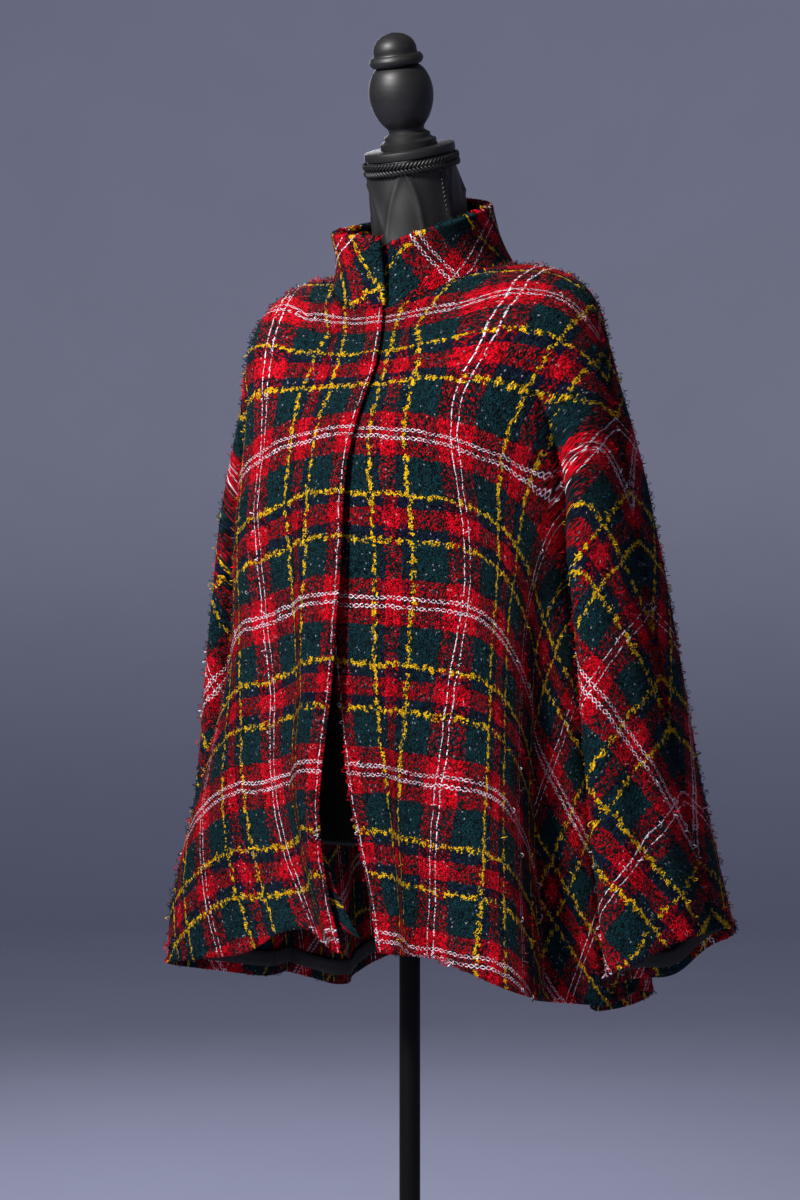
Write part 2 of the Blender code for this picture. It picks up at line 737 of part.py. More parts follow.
def form_ring(row, level_power):
    """One ring of the form; level_power 1 keeps it in a plane, 2 lifts its sides."""
    entry = dict(zip(FORM_COLUMNS, row))
    ring = []
    for angle in form_angles():
        ahead = math.cos(angle) >= 0
        middle_y = entry["front_y"] if ahead else entry["back_y"]
        middle_z = entry["front_z"] if ahead else entry["back_z"]
        ring.append((
            entry["side_x"] * math.sin(angle),
            entry["side_y"] + (middle_y - entry["side_y"]) * abs(math.cos(angle)),
            entry["side_z"]
            + (middle_z - entry["side_z"]) * abs(math.cos(angle)) ** level_power,
        ))
    return ring


def build_form(jersey):
    """The torso and neck of the form, smooth and without limbs."""
    rings = [form_ring(row, 1) for row in FORM_NECK]
    for fall in FORM_YOKE_FALLS:
        rings.append([tuple(yoke_point(angle, fall)) for angle in form_angles()])
    rings += [form_ring(row, 2) for row in FORM_TRUNK]
    points, polygons = ring_solid(rings)
    add_object("form_torso", points, polygons, jersey)


def lathe(name, profile, steps, material, frame, tip=None):
    """Turn (radius, height) rows about the frame's Z axis, bottom to top."""
    rings = []
    for radius, height in reversed(profile):
        ring = []
        for n in range(steps):
            angle = 2 * math.pi * n / steps
            local = Vector((radius * math.sin(angle), -radius * math.cos(angle), height))
            ring.append(tuple(frame @ local))
        rings.append(ring)
    points, polygons = ring_solid(rings)
    if tip is not None:
        points[len(rings) * steps] = tuple(frame @ Vector((0, 0, tip)))
    return add_object(name, points, polygons, material)


def turn_section(name, section, steps, material, frame):
    """Turn a closed (radius, height) section about Z: a ring with a hole.

    The section runs outward along its bottom and back along its top.
    """
    points = []
    for n in range(steps):
        angle = 2 * math.pi * n / steps
        for radius, height in section:
            local = Vector((radius * math.sin(angle), -radius * math.cos(angle), height))
            points.append(tuple(frame @ local))
    sides = len(section)
    polygons = []
    for n in range(steps):
        for m in range(sides):
            a = n * sides + m
            b = n * sides + (m + 1) % sides
            c = ((n + 1) % steps) * sides + (m + 1) % sides
            d = ((n + 1) % steps) * sides + m
            polygons += [(a, d, c), (a, c, b)]
    add_object(name, points, polygons, material)


def cap_frame():
    return Matrix.Translation(Vector(CAP_POINT)) @ Matrix.Rotation(NECK_TILT, 4, "X")


def build_neck_top(wood, cord):
    frame = cap_frame()
    top = SEAM_GAP + CAP_HEIGHT
    cap = (
        (CAP_RADIUS - CAP_EDGE, SEAM_GAP),
        (CAP_RADIUS, SEAM_GAP + CAP_EDGE),
        (CAP_RADIUS, top - CAP_EDGE),
        (CAP_RADIUS - CAP_EDGE, top),
    )
    lathe("neck_cap", cap, 40, wood, frame)
    seat = top + SEAM_GAP
    rows = [dict(zip(FINIAL_COLUMNS, row)) for row in FINIAL]
    finial = [(row["radius"], row["height"] + seat) for row in rows]
    lathe("neck_finial", finial, 26, wood, frame, FINIAL_TIP + seat)
    section = []
    for m in range(CORD_SIDES):
        roll = 2 * math.pi * m / CORD_SIDES
        radius = CORD_RING_RADIUS + CORD_HALF_DEPTH * math.cos(roll)
        section.append((radius, CORD_HALF_HEIGHT * math.sin(roll) - CORD_DROP))
    turn_section("neck_cord", section, CORD_TURNS, cord, frame)


def build_stand(steel):
    upright = Matrix.Identity(4)
    base = (
        (BASE_RADIUS, 0.0),
        (BASE_RADIUS, BASE_HEIGHT - BASE_EDGE),
        (BASE_RADIUS - BASE_EDGE, BASE_HEIGHT),
    )
    lathe("stand_base", base, 48, steel, upright)
    low = BASE_HEIGHT + SEAM_GAP
    pole = ((POLE_RADIUS, low), (POLE_RADIUS, POLE_TOP))
    lathe("stand_pole", pole, 24, steel, upright)
    rows = [dict(zip(HUB_COLUMNS, row)) for row in HUB]
    hub = [(POLE_RADIUS + row["out"], low + row["height"]) for row in rows]
    turn_section("stand_hub", hub, 24, steel, upright)


def main():
    clear_scene()
    tweed = make_material("tweed", 0.95)
    tape = make_material("tape", 0.60)
    jersey = make_material("jersey", 0.85)
    cord = make_material("cord", 0.70)
    wood = make_material("painted_wood", 0.35)
    steel = make_material("painted_steel", 0.40)
    cloth, grids = build_cloth()
    build_panels(cloth, tweed)
    build_tapes(cloth, grids, tape)
    build_collar(tweed)
    build_facing(cloth, grids, tweed)
    build_form(jersey)
    build_neck_top(wood, cord)
    build_stand(steel)


main()
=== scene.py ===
import math

import bpy
import numpy as np
from mathutils import Matrix, Vector, noise


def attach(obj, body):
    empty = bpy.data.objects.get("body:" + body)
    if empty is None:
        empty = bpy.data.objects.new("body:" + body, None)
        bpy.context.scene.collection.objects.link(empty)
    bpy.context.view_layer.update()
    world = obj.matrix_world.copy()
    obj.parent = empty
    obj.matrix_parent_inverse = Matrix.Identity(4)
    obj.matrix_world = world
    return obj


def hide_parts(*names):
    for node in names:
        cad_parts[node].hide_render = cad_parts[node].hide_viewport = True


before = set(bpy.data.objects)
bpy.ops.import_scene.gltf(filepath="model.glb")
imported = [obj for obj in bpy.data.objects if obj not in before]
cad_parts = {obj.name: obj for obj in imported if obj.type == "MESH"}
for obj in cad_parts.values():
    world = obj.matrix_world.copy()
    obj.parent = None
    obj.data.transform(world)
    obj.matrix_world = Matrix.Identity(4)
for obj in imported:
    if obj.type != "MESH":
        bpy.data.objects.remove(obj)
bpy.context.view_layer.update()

bl_info = {
    "name": "Tweed Cape Jacket",
    "version": (1, 0, 0),
    "blender": (4, 5, 0),
    "location": "View3D > Sidebar > Cape",
    "description": "Dresses the packed solids of a tartan cape jacket on its dress form",
    "category": "Add Mesh",
}

# ---------------------------------------------------------------- garment sizes
# The same named sizes and tables as the part, in metres
CLOTH = 0.0022
COLLAR_CLOTH = 0.0044
SEAM_GAP = 0.0003
UNDERARM_FALL = 0.44
SLEEVE_CLEARANCE = 0.016
TAPE_CLEAR = 0.0004
VALLEY_ANGLE = math.radians(56)
PARTING_START = 0.16
BODY_WIDTH_POWER = 0.86
BODY_DEPTH_POWER = 0.66
BODY_HEM_POWER = 1.6
SLEEVE_POWER = 0.72

ENVELOPE_COLUMNS = (
    "fall", "front_y", "front_z", "arm_x", "arm_y", "arm_z", "back_y", "back_z",
)
ENVELOPE = (
    (0.000, -0.075, 1.336, 0.0910, 0.040, 1.3830, 0.135, 1.403),
    (0.045, -0.084, 1.309, 0.1240, 0.042, 1.3820, 0.146, 1.375),
    (0.095, -0.098, 1.279, 0.1580, 0.042, 1.3710, 0.152, 1.339),
    (0.150, -0.116, 1.246, 0.1860, 0.037, 1.3440, 0.156, 1.297),
    (0.200, -0.130, 1.216, 0.1980, 0.032, 1.3080, 0.159, 1.258),
    (0.260, -0.138, 1.178, 0.2080, 0.031, 1.2640, 0.161, 1.214),
    (0.440, -0.142, 1.064, 0.2330, 0.034, 1.1330, 0.166, 1.081),
    (0.600, -0.143, 0.962, 0.2530, 0.038, 1.0130, 0.171, 0.963),
    (0.800, -0.143, 0.835, 0.2760, 0.052, 0.8650, 0.178, 0.815),
    (1.000, -0.140, 0.703, 0.3060, 0.070, 0.7180, 0.186, 0.668),
)
RIGHT_SLEEVE_NARROWER = 0.068

PARTING_COLUMNS = (
    "fall", "side_x", "side_y", "side_z", "sleeve_front_y", "sleeve_back_y",
)
PARTING = (
    (0.000, 0.165, 0.040, 1.360, -0.040, 0.105),
    (0.260, 0.187, 0.040, 1.205, -0.040, 0.112),
    (0.440, 0.189, 0.042, 1.068, -0.040, 0.120),
    (0.600, 0.195, 0.045, 0.945, -0.036, 0.131),
    (0.800, 0.202, 0.050, 0.790, -0.030, 0.146),
    (1.000, 0.210, 0.056, 0.640, -0.024, 0.166),
)
CUFF_LIFT = 0.024

EDGE_COLUMNS = ("fall", "right_x", "right_out", "left_x", "left_out")
EDGES = (
    (0.000, 0.014, 0.0034, -0.012, -0.0034),
    (0.095, 0.020, 0.0038, -0.014, -0.0036),
    (0.260, 0.012, 0.0052, -0.016, -0.0044),
    (0.440, 0.008, 0.0080, -0.012, -0.0060),
    (0.600, 0.001, 0.0110, -0.004, -0.0090),
    (0.800, -0.011, 0.0130, 0.014, -0.0100),
    (0.920, -0.004, 0.0090, 0.034, -0.0060),
    (1.000, 0.007, 0.0040, 0.046, 0.0000),
)
LAP_SPREAD = 0.075

FOLD_COLUMNS = ("piece", "centre", "half_width", "depth", "roll", "start", "full")
FOLDS = (
    ("front_left_body", 0.20, 0.15, -0.016, 0.000, 0.50, 1.00),
    ("front_left_body", 0.50, 0.24, 0.028, 0.000, 0.30, 1.00),
    ("front_left_body", 0.74, 0.11, -0.026, 0.014, 0.35, 1.00),
    ("front_left_body", 0.90, 0.13, 0.022, 0.000, 0.30, 1.00),
    ("front_left_sleeve", 0.42, 0.22, 0.012, 0.000, 0.30, 0.90),
    ("front_left_sleeve", 0.72, 0.16, -0.008, 0.000, 0.30, 1.00),
    ("front_right_body", 0.34, 0.22, -0.008, 0.000, 0.30, 0.95),
    ("front_right_body", 0.70, 0.30, 0.062, 0.000, 0.50, 1.00),
    ("front_right_sleeve", 0.50, 0.24, 0.008, 0.000, 0.35, 1.00),
    ("back_left_body", 0.24, 0.18, 0.014, 0.000, 0.25, 1.00),
    ("back_left_body", 0.50, 0.14, -0.020, 0.004, 0.30, 1.00),
    ("back_left_body", 0.74, 0.18, 0.022, 0.000, 0.35, 1.00),
    ("back_left_sleeve", 0.55, 0.26, 0.012, 0.000, 0.30, 1.00),
    ("back_right_body", 0.22, 0.14, -0.012, 0.000, 0.30, 1.00),
    ("back_right_body", 0.44, 0.18, 0.020, 0.000, 0.25, 1.00),
    ("back_right_body", 0.66, 0.13, -0.020, 0.006, 0.35, 1.00),
    ("back_right_body", 0.84, 0.14, 0.016, 0.000, 0.40, 1.00),
    ("back_right_sleeve", 0.50, 0.26, 0.010, 0.000, 0.30, 1.00),
)
SEAM_HOLD = 0.08

HEM_DROP_COLUMNS = ("piece", "centre", "half_width", "drop")
HEM_DROPS = (
    ("front_left_body", 0.62, 0.38, 0.012),
    ("front_right_body", 0.12, 0.36, -0.020),
    ("front_right_body", 0.00, 0.10, 0.018),
    ("back_right_body", 0.62, 0.38, 0.030),
    ("back_left_body", 0.50, 0.36, 0.042),
    ("back_left_sleeve", 0.26, 0.25, 0.012),
    ("back_right_sleeve", 0.38, 0.38, 0.042),
)

COLLAR_TOP_COLUMNS = ("turn", "z")
COLLAR_TOP = (
    (0.00, 1.405),
    (0.12, 1.413),
    (0.30, 1.436),
    (0.50, 1.466),
    (0.70, 1.444),
    (0.88, 1.410),
    (1.00, 1.390),
)
COLLAR_TOP_HALF_WIDTH = 0.081
COLLAR_TOP_FRONT_Y = -0.083
COLLAR_TOP_MIDDLE_Y = 0.004
COLLAR_TOP_BACK_Y = 0.092
COLLAR_WAIST = 0.004
COLLAR_LEFT_TUCK = 0.008

FACING_COLUMNS = ("fall", "past_edge", "behind")
FACING = (
    (0.000, -0.004, 0.0008),
    (0.600, -0.004, 0.0008),
    (0.850, -0.002, 0.0026),
    (0.930, 0.008, 0.0050),
    (1.000, 0.024, 0.0090),
)
FACING_CLEAR = 0.0008
FACING_THICKNESS = 0.0012
FACING_ACROSS = 3 / 14
TAPE_ACROSS = 4 / 14     # where the right hem's tape starts, past the facing
FACING_STEP = 0.006      # between the facing's first columns, laid flat
TAPE_FALLS = (0.966, 0.987)
TAPE_WIDTH = 0.012

FORM_COLUMNS = (
    "front_y", "front_z", "side_x", "side_y", "side_z", "back_y", "back_z",
)
FORM_NECK = (
    (-0.0420, 1.4866, 0.0450, 0.001, 1.4997, 0.0440, 1.5129),
    (-0.0381, 1.4734, 0.0452, 0.005, 1.4866, 0.0483, 1.4998),
    (-0.0360, 1.4400, 0.0460, 0.018, 1.4540, 0.0660, 1.4660),
    (-0.0320, 1.3900, 0.0520, 0.030, 1.4080, 0.0880, 1.4200),
    (-0.0400, 1.3450, 0.0720, 0.037, 1.3800, 0.1080, 1.3840),
)
FORM_YOKE_FALLS = (0.045, 0.070, 0.095, 0.125, 0.155)
FORM_CLEAR = 0.0022
FORM_FRONT_CLEAR = 0.0065
FORM_TRUNK = (
    (-0.1160, 1.2050, 0.1800, 0.034, 1.3000, 0.1460, 1.2300),
    (-0.1260, 1.1500, 0.1620, 0.030, 1.2150, 0.1420, 1.1700),
    (-0.1160, 1.0900, 0.1480, 0.024, 1.1300, 0.1260, 1.1000),
    (-0.0880, 1.0200, 0.1240, 0.018, 1.0400, 0.1040, 1.0300),
    (-0.0780, 0.9700, 0.1200, 0.018, 0.9800, 0.1040, 0.9700),
    (-0.0900, 0.8900, 0.1440, 0.022, 0.8950, 0.1200, 0.8900),
    (-0.0940, 0.8000, 0.1520, 0.022, 0.8000, 0.1220, 0.8000),
)

NECK_TILT = math.radians(17)
CAP_POINT = (0.0, 0.001, 1.5000)
CAP_RADIUS = 0.0470
CAP_HEIGHT = 0.0090
CORD_DROP = 0.0075
FINIAL = (
    (0.0290, 0.0000),
    (0.0290, 0.0060),
    (0.0240, 0.0085),
    (0.0235, 0.0125),
    (0.0185, 0.0160),
    (0.0190, 0.0200),
    (0.0255, 0.0285),
    (0.0310, 0.0410),
    (0.0330, 0.0540),
    (0.0315, 0.0660),
    (0.0270, 0.0765),
    (0.0215, 0.0820),
    (0.0255, 0.0835),
    (0.0278, 0.0880),
    (0.0255, 0.0930),
    (0.0225, 0.0940),
    (0.0220, 0.1010),
    (0.0185, 0.1080),
    (0.0110, 0.1135),
)
FINIAL_TIP = 0.1160

POLE_RADIUS = 0.0107
POLE_TOP = 0.7997
BASE_RADIUS = 0.195
BASE_HEIGHT = 0.014

# How fine the dressed cloth is
BODY_STEPS = np.linspace(0, 1, 71)
SLEEVE_STEPS = np.linspace(0, 1, 49)
FALLS = np.concatenate((
    np.linspace(0, UNDERARM_FALL, 61),
    np.linspace(UNDERARM_FALL, 1, 81)[1:],
))

# How each panel lies flat: fans out from a point above the neck
FAN_START = 0.14         # from that point to the neck seam
FAN_ANGLE = math.radians(62)  # from the middle edge to the over-arm seam
FOLD_IN_TOP = 0.17       # half width of the hidden fold between body and sleeve
FOLD_IN_LOW = 0.12       # the same from the underarm down
WEFT_PLACE = 0.279       # from the fan's point to the white weft across the chest
# How far the grain turns towards the side seam, in degrees
GRAIN_TURN = {"front_left": 24, "front_right": 15, "back_left": 18, "back_right": 18}
CHECK = 0.166            # one repeat of the check
SLEEVE_LIFT = 0.065      # how much further down the check has run at the over-arm seam
YOKE_SHRINK = 0.18
NECK_SHRINK = 0.5        # and by this much more beside the collar
NECK_CURVE = 0.6         # how far the weft follows the neck seam there
MOST_FULLNESS = 1.35     # how tightly the soft waves beside a front edge may gather it
# Each front edge lies on a white warp. The next white warp hangs this far from the edge,
# by fall; what soft waves can't take up is folded into a crease halfway between the two
WARP_COLUMNS = ("fall", "next_white")
NEXT_WHITE = {
    "front_left": (
        (0.00, 0.118), (0.10, 0.122), (0.20, 0.134), (0.30, 0.148), (0.38, 0.153), (0.47, 0.149),
        (0.53, 0.138), (0.73, 0.106), (0.90, 0.070), (1.00, 0.052),
    ),
    "front_right": (
        (0.00, 0.121), (0.12, 0.121), (0.21, 0.127), (0.30, 0.125), (0.42, 0.113), (0.50, 0.102),
        (0.57, 0.091), (0.62, 0.084), (0.72, 0.078), (0.79, 0.070), (0.89, 0.055), (1.00, 0.033),
    ),
}
CREASE_WIDTH = 0.010
RIM_BULGE = 0.45         # how far a free rim rounds out, as a share of the thickness
LEAST = 1e-12            # keeps a length of nothing from dividing
# Where some changes of the lay start and how far they reach, by fall or share of the body
GRAIN_TURN_ACROSS = (0.42, 0.5)
GRAIN_TURN_DOWN = (0.12, 0.4)
SLEEVE_LIFT_DOWN = (0.1, 0.3)
EVEN_TOP_DOWN = (0.02, 0.42)   # above it the fan is shared out evenly
NECK_CURVE_DOWN = (0.03, 0.26)
TOP_FULLNESS = 0.3       # what the soft waves may gather more beside the neck
NECK_SHRINK_FROM = 0.089  # how far above the chest's white weft the neck's shrink starts

# The check, from the middle of a red band
RED_ENDS = 0.0225
GREEN_ENDS = 0.0625
NAVY_ENDS = 0.0735
YELLOW_LINE = 0.0608
WHITE_LINE = 0.0042
WHITE_HALF_WIDTH = 0.00046
WANDER = 0.006           # how far the threads stray, from side to side
# black flecks are painted shade in the gaps between the loops
GAP_SHADE_FLECKS = 0.80      # loops with a chance above this are black
PALE_FLECKS = 0.016      # and those below this are pale

# How often the hanging wool's unevenness comes in a metre, and how high it is
RIPPLE_BROAD = (16, 0.0011)
RIPPLE_FINE = (55, 0.0004)

# Stray loops of wool
LOOP_SUNK = 0.1          # a loop's root lies this share of its height within the cloth
LOOP_LEAN = 0.3          # how far its sides turn towards the cloth's way out
LOOP_RADIUS = 0.00034
LOOP_HEIGHTS = (0.0014, 0.0046)   # the least height and what chance adds
LOOP_WIDTHS = (0.0010, 0.0022)
RIM_LENGTH = 1.2         # a way out of the cloth longer than this is at a rim

# The neck's creases: from what height, over what reach, up to what height, and how deep
CREASES_FROM = (1.37, 0.05)
CREASES_TO = (1.497, 0.02)
CREASE_DEPTH = 0.0030
COUNTER_CREASE_DEPTH = 0.0022

# Sides of the turned pieces
CAP_SIDES = 96
FINIAL_SIDES = 72
POLE_SIDES = 64
BASE_SIDES = 128
SWEEP_SIDES = 96

# The braids. A stitch leans from the run by two shares, along it and up
STITCH_ROWS = 5
STITCH_SIDES = 8
STITCH_ALONG = 0.72
STITCH_UP = 0.69
# The next four are shares of the braid's stitch size
STITCH_APART = 0.42
STITCH_HALF_LENGTH = 0.58
STITCH_HALF_WIDTH = 0.20
STITCH_HEIGHT = 0.17
CAP_STITCHES = 74
CAP_STITCH_SIZE = 0.0078
SIDE_STITCH_SIZE = 0.0066
SIDE_STITCH_PITCH = 0.0044
SIDE_BRAID_RUN = (0.010, 0.085)   # from its start to its end, down the neck
SIDE_BRAID_RAISED = 0.0012

# The cap's edge, the base's edge and the hub
CAP_EDGE = 0.0022
CAP_BEVEL = 0.0006
BASE_EDGE = 0.003
HUB = (
    (0.0300, 0.000), (0.0300, 0.003), (0.0280, 0.012), (0.0225, 0.024),
    (0.0185, 0.036), (0.0172, 0.041), (0.0155, 0.045),
)
HUB_GAP = 0.0008         # between the hub's bore and the pole


# ---------------------------------------------------------------- small tools
def smooth_step(value, start=0.0, reach=1.0):
    """Rises softly from 0 at the start to 1 at the start plus the reach."""
    value = np.clip((value - start) / reach, 0.0, 1.0)
    return value * value * (3 - 2 * value)


def hump(value):
    """1 in the middle, 0 from -1 outward and from 1 outward."""
    return np.where(np.abs(value) < 1, 0.5 * (1 + np.cos(math.pi * np.clip(value, -1, 1))), 0.0)


def read_table(table, columns, fall):
    """A smooth curve through a table's rows, by its first column."""
    rows = np.array(table)
    falls = rows[:, 0]
    slopes = np.gradient(rows, falls, axis=0)
    row = int(np.clip(np.searchsorted(falls, fall, side="right") - 1, 0, len(rows) - 2))
    span = falls[row + 1] - falls[row]
    step = (fall - falls[row]) / span
    square = step * step
    cube = square * step
    values = (
        (2 * cube - 3 * square + 1) * rows[row]
        + (cube - 2 * square + step) * span * slopes[row]
        + (3 * square - 2 * cube) * rows[row + 1]
        + (cube - square) * span * slopes[row + 1]
    )
    return dict(zip(columns, values))


def measured(points, axis=0):
    """How far each point of a grid lies from the first one, along its own line."""
    steps = np.linalg.norm(np.diff(points, axis=axis), axis=-1)
    first = np.zeros_like(np.take(steps, [0], axis=axis))
    return np.concatenate((first, np.cumsum(steps, axis=axis)), axis=axis)


def unit(vectors, least=0.0):
    return vectors / (np.linalg.norm(vectors, axis=-1)[..., None] + least)


def doubled_areas(corners):
    """Twice the area of each face with four corners."""
    return np.linalg.norm(
        np.cross(corners[:, 2] - corners[:, 0], corners[:, 3] - corners[:, 1]), axis=1)


def linear(hex_colour):
    """An sRGB hex value as linear light."""
    channels = [int(hex_colour[i:i + 2], 16) / 255 for i in (1, 3, 5)]
    return tuple(
        c / 12.92 if c <= 0.04045 else ((c + 0.055) / 1.055) ** 2.4 for c in channels
    )


def feed(tree, node, inputs):
    """Each input gets a value, a socket or another node's first output."""
    for name, value in inputs.items():
        if isinstance(value, bpy.types.Node):
            value = value.outputs[0]
        if isinstance(value, bpy.types.NodeSocket):
            tree.links.new(value, node.inputs[name])
        else:
            node.inputs[name].default_value = value


def add(tree, kind, settings=None, inputs=None):
    """Adds a node with its settings, or its operation alone, and its inputs."""
    made = tree.nodes.new("ShaderNode" + kind)
    if isinstance(settings, str):
        settings = {"operation": settings}
    for name, value in (settings or {}).items():
        setattr(made, name, value)
    feed(tree, made, inputs or {})
    return made


def new_material(name):
    material = bpy.data.materials.new(name)
    material.use_nodes = True
    tree = material.node_tree
    tree.nodes.clear()
    shader = add(tree, "BsdfPrincipled")
    add(tree, "OutputMaterial", None, {"Surface": shader})
    return material, tree, shader


def make_mesh(name, points, faces, flat=None):
    """A smooth mesh; flat is each point's place on the flat cloth, kept as a UV map."""
    mesh = bpy.data.meshes.new(name)
    mesh.from_pydata(points, [], faces)
    if flat is not None:
        layer = mesh.uv_layers.new(name="cut")
        loops = np.empty(len(mesh.loops), dtype=np.int32)
        mesh.loops.foreach_get("vertex_index", loops)
        layer.data.foreach_set("uv", flat[loops].ravel())
    mesh.shade_smooth()
    mesh.update()
    return mesh


def add_piece(name, mesh, material):
    mesh.materials.append(material)
    piece = bpy.data.objects.new(name, mesh)
    bpy.context.scene.collection.objects.link(piece)
    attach(piece, "root")
    return piece


def select_faces(piece, test):
    """Selects the faces that pass the test and stays in edit mode."""
    bpy.ops.object.mode_set(mode="EDIT")
    bpy.ops.mesh.select_mode(type="FACE")
    bpy.ops.mesh.select_all(action="DESELECT")
    bpy.ops.object.mode_set(mode="OBJECT")
    for polygon in piece.data.polygons:
        polygon.select = test(polygon)
    bpy.ops.object.mode_set(mode="EDIT")


# ---------------------------------------------------------------- garment shape
def edge_of(name, fall):
    edges = read_table(EDGES, EDGE_COLUMNS, fall)
    if name.startswith("front_right"):
        return -edges["right_x"], edges["right_out"]
    if name.startswith("front_left"):
        return edges["left_x"], edges["left_out"]
    return 0.0, 0.0


def lap_offset(x, edge_x, edge_out):
    return edge_out * hump((x - edge_x) / LAP_SPREAD)


def read_envelope(name, fall):
    ring = read_table(ENVELOPE, ENVELOPE_COLUMNS, fall)
    if name.endswith("right"):
        ring["arm_x"] *= 1 - RIGHT_SLEEVE_NARROWER * smooth_step(fall, 0.10, 0.2)
    return ring


def fold_offset(name, across, fall, heading):
    outward = np.zeros_like(across)
    sideways = np.zeros_like(across)
    for row in FOLDS:
        fold = dict(zip(FOLD_COLUMNS, row))
        if fold["piece"] != name:
            continue
        place = (across - fold["centre"]) / fold["half_width"]
        reach = smooth_step(fall, fold["start"], fold["full"] - fold["start"])
        outward += fold["depth"] * hump(place) * reach
        sideways -= fold["roll"] * np.sin(math.pi * place) * hump(place) * reach
    hold = smooth_step((1 - across) / SEAM_HOLD)
    if not name.startswith("front") or name.endswith("sleeve"):
        hold = hold * smooth_step(across / SEAM_HOLD)
    outward *= hold
    sideways *= hold
    return (
        outward * np.sin(heading) + sideways * np.cos(heading),
        -outward * np.cos(heading) + sideways * np.sin(heading),
    )


def hem_drop(name, across, fall):
    drop = np.zeros_like(across)
    for row in HEM_DROPS:
        entry = dict(zip(HEM_DROP_COLUMNS, row))
        if entry["piece"] == name:
            place = (across - entry["centre"]) / entry["half_width"]
            drop += entry["drop"] * hump(place) * smooth_step(fall, 0.3, 0.7)
    return drop


def below_underarm(fall):
    return max(0.0, (fall - UNDERARM_FALL) / (1 - UNDERARM_FALL))


def opening_of(fall):
    return 0.5 * SLEEVE_CLEARANCE * math.sqrt(below_underarm(fall))


def shoulder_points(name, angles, fall, edge_x):
    """Points on the ring that body and sleeve share near the shoulder."""
    ring = read_envelope(name, fall)
    face = "front" if name.startswith("front") else "back"
    middle_y = ring[face + "_y"]
    middle_z = ring[face + "_z"]
    x = edge_x + (ring["arm_x"] - edge_x) * np.sin(angles)
    share = np.minimum(1.0, x / ring["arm_x"])
    return np.stack([
        x,
        ring["arm_y"] + (middle_y - ring["arm_y"]) * np.sqrt(np.maximum(0.0, 1 - share * share)),
        middle_z + (ring["arm_z"] - middle_z) * share * share,
    ], axis=-1)


def hang(part, across, fall, shoulder, hanging, heading, lap):
    """Parts body from sleeve by fall, then adds the folds, the lap and the hem's dips."""
    parted = smooth_step(fall, PARTING_START, UNDERARM_FALL - PARTING_START)
    points = (1 - parted) * shoulder + parted * hanging
    if part.startswith("back"):
        heading = math.pi - heading
    push_x, push_y = fold_offset(part, across, fall, heading)
    points[:, 1] += push_y - lap_offset(points[:, 0], *lap)
    points[:, 0] += push_x
    points[:, 2] -= hem_drop(part, across, fall)
    return points


def body_points(name, across, fall):
    """From the middle (across 0) to the side seam (across 1), for x > 0."""
    ring = read_envelope(name, fall)
    parting = read_table(PARTING, PARTING_COLUMNS, fall)
    face = "front" if name.startswith("front") else "back"
    edge_x, edge_out = edge_of(name, fall)
    shoulder = shoulder_points(name, across * VALLEY_ANGLE, fall, edge_x)
    angle = across * math.pi / 2
    middle_y = ring[face + "_y"]
    side_x = parting["side_x"] - opening_of(fall)
    hanging = np.stack([
        edge_x + (side_x - edge_x) * np.sin(angle) ** BODY_WIDTH_POWER,
        parting["side_y"]
        + (middle_y - parting["side_y"]) * np.maximum(0, np.cos(angle)) ** BODY_DEPTH_POWER,
        ring[face + "_z"]
        + (parting["side_z"] - ring[face + "_z"]) * across ** BODY_HEM_POWER,
    ], axis=-1)
    return hang(name + "_body", across, fall, shoulder, hanging, angle, (edge_x, edge_out))


def sleeve_points(name, across, fall):
    """From the under seam (across 0) to the over-arm seam (across 1), for x > 0."""
    ring = read_envelope(name, fall)
    parting = read_table(PARTING, PARTING_COLUMNS, fall)
    face = "front" if name.startswith("front") else "back"
    edge_x = edge_of(name, fall)[0]
    angle = VALLEY_ANGLE + across * (math.pi / 2 - VALLEY_ANGLE)
    shoulder = shoulder_points(name, angle, fall, edge_x)
    inner_x = parting["side_x"] + opening_of(fall)
    outer_x = ring["arm_x"]
    under_z = parting["side_z"] + CUFF_LIFT * below_underarm(fall)
    level_y = parting["side_y"] + (ring["arm_y"] - parting["side_y"]) * across
    swell = np.maximum(0, np.sin(math.pi * across)) ** SLEEVE_POWER
    swell[across >= 1] = 0.0
    hanging = np.stack([
        (inner_x + outer_x) / 2 - (outer_x - inner_x) / 2 * np.cos(math.pi * across),
        level_y + (parting[f"sleeve_{face}_y"] - level_y) * swell,
        under_z + (ring["arm_z"] - under_z) * smooth_step(across),
    ], axis=-1)
    heading = math.pi * (across - 0.5)
    return hang(name + "_sleeve", across, fall, shoulder, hanging, heading, (edge_x, 0.0))


